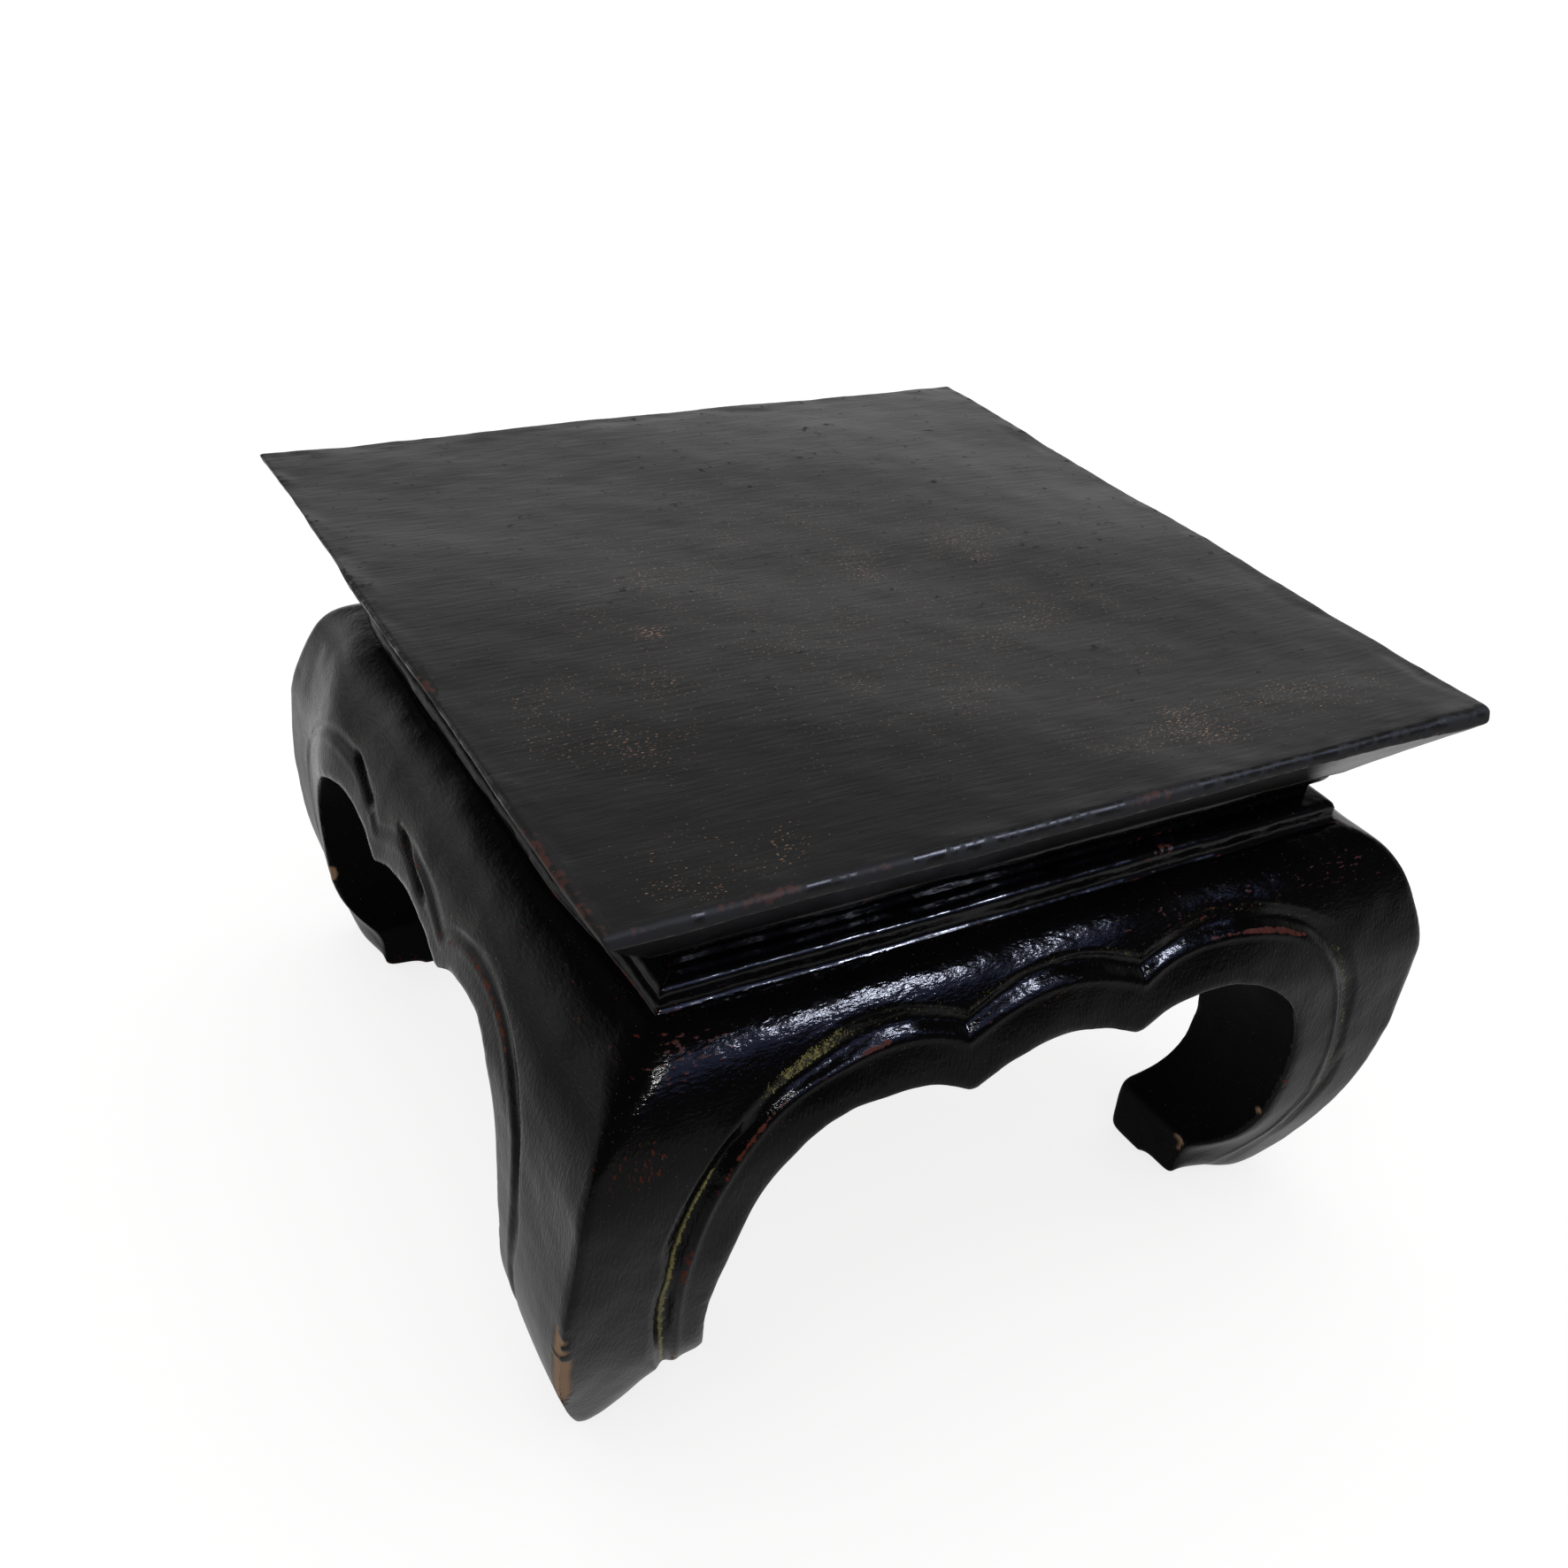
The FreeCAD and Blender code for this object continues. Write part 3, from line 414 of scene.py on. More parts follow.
# %% Parting a skin into finished pieces
def stand_for(nodes, name, mesh):
    """Put a piece into the scene in place of its solids."""
    piece = bpy.data.objects.new(name, mesh)
    bpy.context.scene.collection.objects.link(piece)
    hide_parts(*nodes)
    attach(piece, "root")
    print(name, "triangles", sum(len(p.vertices) - 2 for p in mesh.polygons))


def finished(name, nodes, points, squares, marks, materials, kind=None):
    """One closed piece with its marks; kind gives the number of each square's material."""
    used = np.unique(squares)
    renumber = np.zeros(len(points), int)
    renumber[used] = np.arange(len(used))
    mesh = bpy.data.meshes.new(name)
    mesh.from_pydata((points[used] * MM).tolist(), [], renumber[squares].tolist())
    for mark, value in marks.items():
        layer = mesh.attributes.new(mark, "FLOAT", "POINT")
        layer.data.foreach_set("value", value[used].astype(np.float32))
    for material in materials:
        mesh.materials.append(material)
    if kind is not None:
        mesh.polygons.foreach_set("material_index", kind.astype(np.int32))
    mesh.shade_smooth()
    close_joints(mesh)
    stand_for(nodes, name, mesh)


def close_joints(mesh):
    """Cap the open ends that parting leaves, with a hard edge round each cap."""
    work = bmesh.new()
    work.from_mesh(mesh)
    rims = [edge for edge in work.edges if edge.is_boundary]
    if rims:
        for edge in rims:
            edge.smooth = False
        bmesh.ops.holes_fill(work, edges=rims, sides=0)
        work.to_mesh(mesh)
    work.free()


def side_number(middle, front_or_back):
    """Number of the side of the stand, as in SIDES, on which the middle of a square lies."""
    return np.where(front_or_back, np.where(middle[:, 1] < 0, 0, 2), np.where(middle[:, 0] > 0, 1, 3))


def shared_points(count, squares, home):
    """Points that touch squares of more than one piece."""
    low = np.full(count, home.max())
    high = np.full(count, home.min())
    for k in range(4):
        np.minimum.at(low, squares[:, k], home)
        np.maximum.at(high, squares[:, k], home)
    return low < high


# %% [markdown]
# ## The raised band
# A flat band follows the scalloped edge of each apron and runs on down the legs. The carver first cut
# a groove along it and then rolled its upper edge over. The solids hold the plain groove. To shape it
# further, each point needs its distance from the ridge of the band, seen square on. The ridge is drawn
# through a few named places, each with the direction in which the line passes, and smooth cubic pieces
# join them.

# %% Ridge of the band, seen from the front: across and up in millimetres
RIDGE = {
    "middle": ((0.0, 151.8), (1.0, 0.0)),
    "cusp from the middle": ((35.3, 143.0), (0.9, -0.45)),
    "cusp towards the leg": ((35.3, 143.0), (0.8, 0.55)),
    "lobe": ((64.3, 150.1), (1.0, -0.02)),
    "joint": ((98.0, 144.8), (0.95, -0.31)),
    "knee": ((130.4, 116.6), (0.4, -0.92)),
    "side": ((135.5, 71.25), (-0.1, -1.0)),
    "heel": ((129.0, 36.0), (-0.27, -0.96)),
    "sole": ((115.0, 0.0), (-0.5, -1.0)),
}


def ridge_line(steps=14):
    places = list(RIDGE.values())
    line = [places[0][0]]
    for (start, leave), (end, arrive) in zip(places, places[1:]):
        span = math.dist(start, end)
        if span == 0:
            continue
        for t in np.linspace(0, 1, steps + 1)[1:]:
            pull_start = (1 - t) ** 2 * t * span / math.hypot(*leave)
            pull_end = (1 - t) * t**2 * span / math.hypot(*arrive)
            share = t * t * (3 - 2 * t)
            line.append(
                tuple(
                    start[k] * (1 - share) + end[k] * share + leave[k] * pull_start - arrive[k] * pull_end
                    for k in (0, 1)
                )
            )
    return np.array(line)


def band_gap(across, height):
    """Distance from the ridge: above zero on the bulging face, below zero on the band."""
    line = ridge_line()
    nearest = np.full(len(across), 1e9)
    inside = np.zeros(len(across), bool)
    outline = np.vstack([line, [(0.0, line[-1, 1])]])
    for k, (start, end) in enumerate(zip(outline, np.roll(outline, -1, axis=0))):
        run = end - start
        if k < len(line) - 1:
            t = ((across - start[0]) * run[0] + (height - start[1]) * run[1]) / (run @ run)
            t = np.clip(t, 0, 1)
            gap = np.hypot(across - start[0] - t * run[0], height - start[1] - t * run[1])
            nearest = np.minimum(nearest, gap)
        if run[1] != 0:
            crosses = (start[1] > height) != (end[1] > height)
            where = start[0] + (height - start[1]) / run[1] * run[0]
            inside ^= crosses & (across < where)
    return np.where(inside, -nearest, nearest)


print("ridge runs from", ridge_line()[0], "to", ridge_line()[-1])

# %% [markdown]
# ## One skin for legs and aprons
# The pegs go into the skin too, so that it has no holes where they sit. Each square has a home, the apron or
# leg that it will be part of, and the points between two homes are set on the joint before the easing. Then
# the arrises are faired along their own lines.

# %% Ease the frame
VOXEL = 0.8
EASING, FAIRING, LAST_EASING = 8, 40, 3
ARRIS_LEVEL = 0.16
APRONS = [f"apron_{side}" for side in SIDES]
LEGS = [f"leg_{corner}" for corner in ("front_right", "front_left", "back_right", "back_left")]
points, squares = skin(APRONS + LEGS + ["tenon_pegs"], VOXEL)
print("frame skin", len(points), "points", len(squares), "squares")

SEAM = JOINT - 0.4
middle = points[squares].mean(axis=1)
beyond_x, beyond_y = (np.abs(middle[:, axis]) > SEAM for axis in (0, 1))
in_leg = (beyond_x & beyond_y) | (middle[:, 2] > SHOULDER + 0.5)
quarter = (middle[:, 0] < 0) + 2 * (middle[:, 1] > 0)
home = np.where(in_leg, len(APRONS) + quarter, side_number(middle, beyond_y))
at_seam = shared_points(len(points), squares, home)
for axis in (0, 1):
    near = at_seam & (np.abs(np.abs(points[:, axis]) - SEAM) < VOXEL)
    points[near, axis] = SEAM * np.sign(points[near, axis])
points = eased(points, squares, EASING)
arrises = proudness(points, squares, VOXEL) > ARRIS_LEVEL
points = eased(points, squares, FAIRING, only_along=arrises)
points = eased(points, squares, LAST_EASING)
print("points on arrises", int(arrises.sum()))

# %% [markdown]
# ## Carving the groove behind the band
# After easing, the groove of the solids is only a soft dent in the wrong place. So the dent is lifted out,
# and the face is eased until no trace is left. Then the profile of the real groove is carved along the
# carver's own line: a rolled ridge, a steep riser, and a slope that runs out into the bulging face. It is
# cut deep on the near leg and is only a trace on the left side.

# %% Where each point lies: on which face, how far across, and how far from the ridge
facing_front = np.abs(points[:, 1]) > np.abs(points[:, 0])
out_axis = np.where(facing_front, 1, 0)
rows = np.arange(len(points))
out_sign = np.sign(points[rows, out_axis])
facing_out = eased(outward(points, squares), squares, 10)[rows, out_axis] * out_sign
across = np.abs(points[rows, 1 - out_axis])
height = points[:, 2].copy()
gap = band_gap(across, height)
far_out = ramp(np.abs(points[rows, out_axis]), JOINT + 22, JOINT + 28)
outer_face = ramp(facing_out, 0.15, 0.45) * far_out
on_leg = ramp(across, JOINT + 5, JOINT + 30)
print("points on the outer faces", int((outer_face > 0.5).sum()))

# %% Fill the groove of the solids
GROOVE_DEPTH = 2.8
FILLING, SMOOTHING = 600, 120
groove_width = np.interp(height, (0, 36, 71), (2.5, 4.0, 5.0))
behind_groove = gap - groove_width
softness = 0.85 * VOXEL * math.sqrt(EASING)
dent = ramp(gap, -softness, softness) - ramp(behind_groove, -softness, softness)
points[rows, out_axis] += out_sign * GROOVE_DEPTH * dent * ramp(facing_out, 0.0, 0.25) * far_out
filled = ramp(facing_out, -0.3, -0.1) * far_out * ramp(gap, -13, -9) * (1 - ramp(behind_groove, 4, 8))
points = eased(points, squares, FILLING, filled)
around = ramp(facing_out, 0.0, 0.3) * far_out * ramp(gap, -12, -6) * (1 - ramp(behind_groove, 6, 18))
points = eased(points, squares, SMOOTHING, around)
print("points filled", int((filled > 0.5).sum()))

# %% The carver's line drifts towards the edge (above zero) or away from it: heights and drifts in mm
DRIFT = {
    "near leg, front": ((10, 60, 100, 120, 135, 144), (7.0, 7.5, 7.0, 6.0, 3.5, 1.5)),
    "near leg, left": ((10, 60, 110, 130), (4.0, 7.5, 8.0, 7.0)),
    "far left leg": ((10, 60, 110, 130), (0.0, 1.0, 4.0, 7.0)),
    "right leg, front": ((30, 57, 77, 100, 118, 140), (0.0, -2.5, 0.5, 3.5, 3.5, 0.0)),
}
front_face = facing_front & (points[:, 1] < 0)
left_face = ~facing_front & (points[:, 0] < 0)
faces = {
    "near leg, front": front_face & (points[:, 0] < 0),
    "near leg, left": left_face & (points[:, 1] < 0),
    "far left leg": left_face & (points[:, 1] >= 0),
    "right leg, front": front_face & (points[:, 0] > 0),
}
past_joint = np.where(left_face, 1.0, ramp(across, JOINT - 40, JOINT + 5))
for face, chosen in faces.items():
    gap = gap + np.where(chosen, np.interp(height, *DRIFT[face]) * past_joint, 0)
print("faces with a drifting line", len(faces))


# %% Carve the ridge, the riser and the slope
def unsteady(share, wavelength, seed):
    """A factor near 1 that wanders along the stand, as the pressure of a hand does."""
    return 1 + share * np.clip(swell(points, wavelength, seed), -1.2, 1.2)


LEFT_DEPTH, DEPTH = 0.5, 1.7
LEFT_SLOPE, SLOPE = 5.0, 8.5
LEFT_BEAD, BEAD = 0.2, 0.5
# Depth on the apron and on the leg, where they differ
FACE_DEPTH = {
    "near leg, front": (DEPTH, 2.7),
    "near leg, left": (LEFT_DEPTH, 1.4),
    "right leg, front": (DEPTH, 0.9),
}
deep = np.where(left_face, LEFT_DEPTH, DEPTH)
for face, (apron_depth, leg_depth) in FACE_DEPTH.items():
    deep = np.where(faces[face], apron_depth + (leg_depth - apron_depth) * on_leg, deep)
deep = deep * unsteady(0.3, 34, 8) * np.interp(height, (0, 25, 60), (0.1, 0.6, 1.0))
slope_end = np.where(left_face, LEFT_SLOPE, SLOPE - on_leg) * unsteady(0.2, 45, 9)
riser = ramp(gap, -0.6, 1.5)
slope = ramp(gap, 2.2, slope_end)
bead = np.where(left_face, LEFT_BEAD, BEAD) * ramp(height, 5, 25) * np.exp(-(((gap + 1.7) / 1.3) ** 2))
carved = bead - deep * riser * (1 - slope)
points[rows, out_axis] += out_sign * carved * outer_face
points = eased(points, squares, 2, np.exp(-((gap / 3) ** 2)) * outer_face)
print("band shaped, groove", round(float(carved.min()), 2), round(float(carved.max()), 2))

# %% [markdown]
# ## Each leg its own
# The four legs were sawn and carved one by one, and in the photograph no two are alike: the near one spreads
# outwards at its foot, the right one reaches further out, and the far left shoulder is flatter. Soft pushes
# do this: each one moves what lies round a place and fades out towards its borders, so all joints stay
# closed.


# %% Hand-made shape: middle and half sizes of what is pushed, and the way it is pushed, in millimetres
PUSHES = {
    "near foot": ((-150, -150, -20), (90, 90, 175), (-7.7, 3.9, 0)),
    "near foot, left edge": ((-155, -104, 85), (45, 46, 85), (0, 11.0, 0)),
    "near tip": ((-106, -138, 2), (40, 45, 40), (0, 0, 6.5)),
    "near lobe": ((-97, -152, 120), (40, 40, 30), (0, 0, 4.5)),
    "near waist": ((-140, -140, 172), (75, 75, 42), (4.5, 0.5, 0)),
    "arches": ((10, -158, 118), (95, 45, 34), (0, 0, -1.6)),
    "far left leg": ((-165, 165, 60), (85, 85, 250), (6.5, -5.0, 0)),
    "far left shoulder": ((-165, 165, 165), (65, 65, 65), (1.0, -2.0, -1.5)),
    "left cusps": ((-158, 25, 122), (50, 135, 48), (0, -6.0, -7.5)),
    "right leg": ((165, -150, 70), (85, 90, 130), (5.0, 0, 0)),
}


def pushed(points):
    moved = points.copy()
    for place, half_sizes, way in PUSHES.values():
        strength = 1 - ramp(away_from(points, place, half_sizes), 0.25, 1.0)
        moved += strength[:, None] * np.array(way)
    return moved


print("pushes", len(PUSHES))

# %% Round the corners under the shoulder, most of all the near one, and let the legs differ
LEAST_ROUND, MOST_ROUND = 1.2, 6.0
ROUND_FROM, ROUND_TO = 132, 156
LEVELS = np.arange(120, SHOULDER, 3)
flank = front_face & (across < JOINT + 27)
reaches = [np.abs(points[flank & (np.abs(height - glow_with_painted_shade) < 2), 1]).max() for glow_with_painted_shade in LEVELS]
near_corner = ramp(-points[:, 0], JOINT, JOINT + 30) * ramp(-points[:, 1], JOINT, JOINT + 30)
corner_round = LEAST_ROUND + (MOST_ROUND - LEAST_ROUND) * near_corner
corner_round = corner_round * np.interp(height, (ROUND_FROM, ROUND_TO), (0.0, 1.0))
limit = math.sqrt(2) * np.interp(height, LEVELS, reaches) - corner_round
diagonal = np.abs(points[:, :2]).sum(axis=1) / math.sqrt(2)
past_corner = np.maximum(diagonal - limit + corner_round, 0)
taken_off = np.minimum(past_corner**2 / (4 * np.maximum(corner_round, 0.1)), past_corner)
taken_off *= (corner_round > 0) & (height < SHOULDER + 0.5)
points[:, :2] -= np.sign(points[:, :2]) * (taken_off / math.sqrt(2))[:, None]
points = swollen(pushed(points), squares, {60: 0.3, 26: 0.06, 11: 0.03})
print("taken off the corners", round(float(taken_off.max()), 2))

# %% Two short cuts in the trace along the left apron: both ends of each, as y and z
SLITS = {"back": ((66, 140.5), (37, 132.5)), "near": ((15, 140), (-22, 132.5))}
SLIT_DEPTH, SLIT_HALF_WIDTH = 2.6, 1.7
for slit_start, slit_end in SLITS.values():
    along_slit = np.subtract(slit_end, slit_start)
    from_start = points[:, 1:] - slit_start
    share = from_start @ along_slit / (along_slit @ along_slit)
    away = np.linalg.norm(from_start - np.clip(share, 0, 1)[:, None] * along_slit, axis=1)
    cut = np.exp(-((away / SLIT_HALF_WIDTH) ** 2)) * ramp(share, -0.05, 0.2) * (1 - ramp(share, 0.8, 1.05))
    points[:, 0] += SLIT_DEPTH * cut * left_face * outer_face
    print("cut of", round(math.dist(slit_start, slit_end)), "mm")

# %% Chips: middle and half sizes of each
CHIPS = {
    "near arris": ((-166, -156, 50), (7, 7, 31)),
    "hook edge": ((113.5, -158, 51), (5, 3, 5)),
    "tip corner": ((103, -137, 20), (4, 4, 4)),
    "back hook": ((-158, 114, 52), (4, 4, 5)),
}
CHIP_DEPTH = 0.5
chip = np.zeros(len(points))
ragged = 0.18 * swell(points, 13, 3) + 0.09 * swell(points, 5, 4)
proud = proudness(points, squares, VOXEL)
for place, half_sizes in CHIPS.values():
    inside = 1 - away_from(points, place, half_sizes) + ragged
    chip = np.maximum(chip, ramp(inside, 0.05, 0.2) * ramp(proud, 0.0, 0.1))
points -= outward(points, squares) * (CHIP_DEPTH * chip)[:, None]
points[:, 2] = np.maximum(points[:, 2], 0.0)
print("chipped points", int((chip > 0.5).sum()))

# %% [markdown]
# ## Wear on the frame
# Gold dust lies as a thin line in the groove of the legs and as a haze in the hollow of the aprons. On the
# near apron the haze is brighter, partly a painted sheen where the slope catches light. The ground coat
# shows on the ridge, most of all over the right hook, and where hands have rubbed the shoulders. These
# places are marked on the points, so that they stay where they are from every side.

# %% Gold dust, and a painted sheen on the near apron
NEAR_LINE, OTHER_LINES, APRON_DUST_AND_SHEEN, OTHER_DUST = 1.0, 0.55, 0.75, 0.35
DUST_AND_SHEEN_MIDDLE, DUST_AND_SHEEN_HALF_WIDTH = -92, 26
line = ramp(gap, 1.3, 1.9) * (1 - ramp(gap, 3.0, 3.8)) * on_leg
hollow = ramp(gap, 1.8, 3.0) * (1 - ramp(gap, 6.5, 9.0)) * (1 - on_leg)
near_line = faces["near leg, front"] & (across > JOINT)
line *= np.where(near_line, NEAR_LINE * (1 - ramp(height, 122, 130)) * ramp(height, 26, 36), OTHER_LINES)
# A brighter patch on the near apron: gold dust and a painted sheen where the slope catches light
dust_and_sheen = np.exp(-(((points[:, 0] - DUST_AND_SHEEN_MIDDLE) / DUST_AND_SHEEN_HALF_WIDTH) ** 2)) * front_face
gilt_and_sheen = outer_face * np.maximum(line, hollow * np.maximum(APRON_DUST_AND_SHEEN * dust_and_sheen, OTHER_DUST))
print("dusty points", int((gilt_and_sheen > 0.3).sum()))

# %% Middle, half sizes and strength of the places where hands have rubbed the lacquer through
RUBBED = {
    "near shoulder": ((-128, -148, 160), (28, 18, 9), 1.0),
    "near face": ((-147, -162, 139), (16, 12, 16), 1.0),
    "left of the near corner": ((-150, -120, 158), (16, 40, 10), 0.7),
    "front roll": ((70, -152, 158), (70, 14, 10), 0.75),
    "over the arch": ((0, -160, 147), (50, 12, 9), 0.7),
    "right shoulder": ((125, -148, 157), (30, 18, 10), 0.8),
}
RUBBED_ELSEWHERE = 0.2
HOOK_MIDDLE, HOOK_HALF_WIDTH = 88, 24
rub = RUBBED_ELSEWHERE * ramp(height, SHOULDER - 50, SHOULDER - 20)
for place, half_sizes, strength in RUBBED.values():
    rub = np.maximum(rub, strength * (1 - ramp(away_from(points, place, half_sizes), 0.3, 1.2)))
over_hook = np.exp(-(((points[:, 0] - HOOK_MIDDLE) / HOOK_HALF_WIDTH) ** 2)) * front_face
ridge_wear = np.clip(0.2 + 0.25 * swell(points, 35, 21) + over_hook, 0, None)
frame_marks = {
    "arris": np.clip(proud, 0, None),
    "ridge": np.exp(-(((gap + 0.6) / 0.6) ** 2)) * outer_face * ridge_wear,
    "gilt_and_sheen": gilt_and_sheen,
    "chip": chip,
    "rub": rub * outer_face,
}
for mark, value in frame_marks.items():
    print(mark, np.percentile(value, [50, 95, 99]).round(2))

# %% Part the frame into aprons and legs; what does not look outwards below the shoulder gets a dull lacquer: painted shade
SHOWS_FROM, SHOWN_ABOVE = 0.22, SHOULDER - 12
towards = (outward(points, squares)[:, :2] * np.sign(points[:, :2])).max(axis=1)
shows = (towards[squares].mean(axis=1) > SHOWS_FROM) | (middle[:, 2] > SHOWN_ABOVE)
kind = np.where(shows, 0, 1)
for number, node in enumerate(APRONS + LEGS):
    chosen = home == number
    finished(
        f"carved_{node}", [node], points, squares[chosen], frame_marks,
        [FRAME_LACQUER, SHADED_INNER_LACQUER], kind[chosen],
    )

# %% [markdown]
# ## Waist and moulding
# Each ring of four mitred strips is one skin as well, parted along the mitres. These mouldings are small, so
# the squares are finer and the easing shorter.

# %% Strips: for each kind, the wavelengths and heights of its swells
STRIP_VOXEL, STRIP_EASING, STRIP_RUB = 0.7, 3, 0.3
STRIPS = {"waist_strip": {40: 0.2, 14: 0.05}, "moulding_strip": {40: 0.25, 14: 0.06, 6: 0.02}}
for strip, heights in STRIPS.items():
    nodes = [f"{strip}_{side}" for side in SIDES]
    points, squares = skin(nodes, STRIP_VOXEL)
    middle = points[squares].mean(axis=1)
    home = side_number(middle, np.abs(middle[:, 1]) > np.abs(middle[:, 0]))
    at_mitre = shared_points(len(points), squares, home)
    diagonal = np.abs(points[:, :2]).mean(axis=1)[:, None]
    points[at_mitre, :2] = (np.sign(points[:, :2]) * diagonal)[at_mitre]
    points = swollen(pushed(eased(points, squares, STRIP_EASING)), squares, heights)
    proud = proudness(points, squares, STRIP_VOXEL)
    marks = {"arris": np.clip(proud, 0, None), "rub": np.full(len(points), STRIP_RUB)}
    for number, node in enumerate(nodes):
        finished(f"lacquered_{node}", [node], points, squares[home == number], marks, [MOULDING_LACQUER])

# %% [markdown]
# ## The slab
# The two boards of the slab are hidden under one coat of lacquer on cloth, so one piece stands for both. It
# is built from a square grid for the top, rings that follow the section of the edge and the bevel, and
# a grid for the underside. The lines are closer together near the edges, where the shape is.

# %% Section of the slab: how far out and how high, from the edge of the top to the underside
EDGE_HEIGHT, EDGE_ROUND, CORNER_ROUND = 4.8, 1.6, 1.0
GRID, ROUND_STEPS, NOSE_STEPS, BEVEL_STEPS = 131, 7, 6, 26
# The lower round of the edge stops short of a quarter turn, where it meets the bevel
NOSE_TURN = math.pi / 2 - 0.35
board_points = np.array([corner.co for corner in SOLIDS["slab_front_board"].data.vertices]) / MM
FOOT_REACH = np.abs(board_points[board_points[:, 2] < SLAB_FOOT + 0.1, 0]).max()
bevel_top = TOP - EDGE_HEIGHT
bevel_angle = math.atan2(bevel_top - SLAB_FOOT, HALF_TOP - FOOT_REACH)
section = [
    (HALF_TOP - EDGE_ROUND * (1 - math.sin(turn)), TOP - EDGE_ROUND * (1 - math.cos(turn)))
    for turn in np.linspace(0, math.pi / 2, ROUND_STEPS)[1:]
]
section += [
    (HALF_TOP - EDGE_ROUND * (1 - math.cos(turn)), bevel_top + EDGE_ROUND * (0.9 - math.sin(turn)))
    for turn in np.linspace(0, NOSE_TURN, NOSE_STEPS)[1:]
]
section += [tuple(p) for p in np.linspace(section[-1], (FOOT_REACH, SLAB_FOOT), BEVEL_STEPS)[1:]]
print("bevel of", round(math.degrees(bevel_angle), 1), "degrees, foot reach", round(float(FOOT_REACH), 1))


# %% Points and squares of the slab
def spaced(half):
    """Places along one side, closer together towards both ends."""
    t = np.linspace(-1, 1, GRID)
    return half * (t + 0.38 * (t - t**3))


def grid_points(half, height):
    x, y = np.meshgrid(spaced(half), spaced(half), indexing="ij")
    return np.stack([x.ravel(), y.ravel(), np.full(x.size, height)], axis=1)


last = GRID - 1
steps = np.arange(last)
rim = np.concatenate([steps * GRID, last * GRID + steps, (last - steps) * GRID + last, last - steps])
top_reach = HALF_TOP - EDGE_ROUND
top_points = grid_points(top_reach, TOP)
rings = []
for ring_reach, ring_height in section:
    ring = top_points[rim] * (ring_reach / top_reach)
    past = np.abs(ring[:, :2]) - (ring_reach - CORNER_ROUND)
    in_corner = (past > 0).all(axis=1)
    short = CORNER_ROUND / np.maximum(np.linalg.norm(past, axis=1), 1e-6)
    rounded = np.sign(ring[:, :2]) * (ring_reach - CORNER_ROUND + past * short[:, None])
    ring[in_corner, :2] = rounded[in_corner]
    ring[:, 2] = ring_height
    rings.append(ring)
foot_points = grid_points(FOOT_REACH - 0.5, SLAB_FOOT)
points = np.vstack([top_points, *rings, foot_points])

i, j = (index.ravel() for index in np.meshgrid(steps, steps, indexing="ij"))
cell = np.stack([i * GRID + j, (i + 1) * GRID + j, (i + 1) * GRID + j + 1, i * GRID + j + 1], axis=1)
ring_start = GRID * GRID
foot_start = ring_start + len(rings) * len(rim)
loops = [ring_start + k * len(rim) + np.arange(len(rim)) for k in range(len(rings))]
loops = [rim, *loops, foot_start + rim]
walls = [
    np.stack([upper, lower, np.roll(lower, -1), np.roll(upper, -1)], axis=1)
    for upper, lower in zip(loops, loops[1:])
]
squares = np.vstack([cell, *walls, foot_start + cell[:, ::-1]])
print("slab", len(points), "points", len(squares), "squares")

# %% Hand-made edges of the slab
SPREAD = {"right": 1.6, "back": 2.6, "left": 1.2, "front": 0.4}
points[:, 0] += np.where(points[:, 0] > 0, SPREAD["right"], SPREAD["left"]) * points[:, 0] / HALF_TOP
points[:, 1] += np.where(points[:, 1] > 0, SPREAD["back"], SPREAD["front"]) * points[:, 1] / HALF_TOP
# The left edge is planed under, so that it shows only as a thin line
UNDERCUT = 1.6
below = np.interp(TOP - points[:, 2], (0.8, EDGE_HEIGHT, TOP - SLAB_FOOT), (0.0, 1.0, 0.0))
points[:, 0] += UNDERCUT * below * ramp(-points[:, 0], HALF_TOP - 40, HALF_TOP - 12)
# The front edge leans outwards below, so that it looks into the dark room and not at the floor
LEAN_TOP, LEAN_FOOT = -0.7, 0.9
lean = np.interp(TOP - points[:, 2], (0.0, EDGE_HEIGHT, TOP - SLAB_FOOT), (LEAN_TOP, LEAN_FOOT, 0.0))
points[:, 1] -= lean * ramp(-points[:, 1], HALF_TOP - 40, HALF_TOP - 12)
points = swollen(points, squares, {170: 0.4, 55: 0.09, 20: 0.035, 9: 0.02})
near_rim = ramp(np.abs(points[:, :2]).max(axis=1), HALF_TOP - 9, HALF_TOP - 2)[:, None]
points += (swollen(points, squares, {38: 0.1, 17: 0.05, 8: 0.03}) - points) * near_rim

# %% Middle, half sizes and strength of the worn places on top
WORN = {
    "left middle": ((-112, -62), (60, 60), 0.58),
    "left patch": ((-82, -21), (11, 8), 1.1),
    "right middle": ((47, -55), (26, 10), 0.75),
    "front right": ((75, -132), (100, 24), 0.75),
    "front left": ((-120, -140), (45, 25), 0.7),
    "all over": ((0, -20), (190, 170), 0.54),
}
worn = np.zeros(len(points))
for place, half_sizes, strength in WORN.values():
    worn = np.maximum(worn, strength * (1 - ramp(away_from(points[:, :2], place, half_sizes), 0.3, 1.1)))
worn *= points[:, 2] > TOP - EDGE_ROUND
print("worn places", len(WORN))

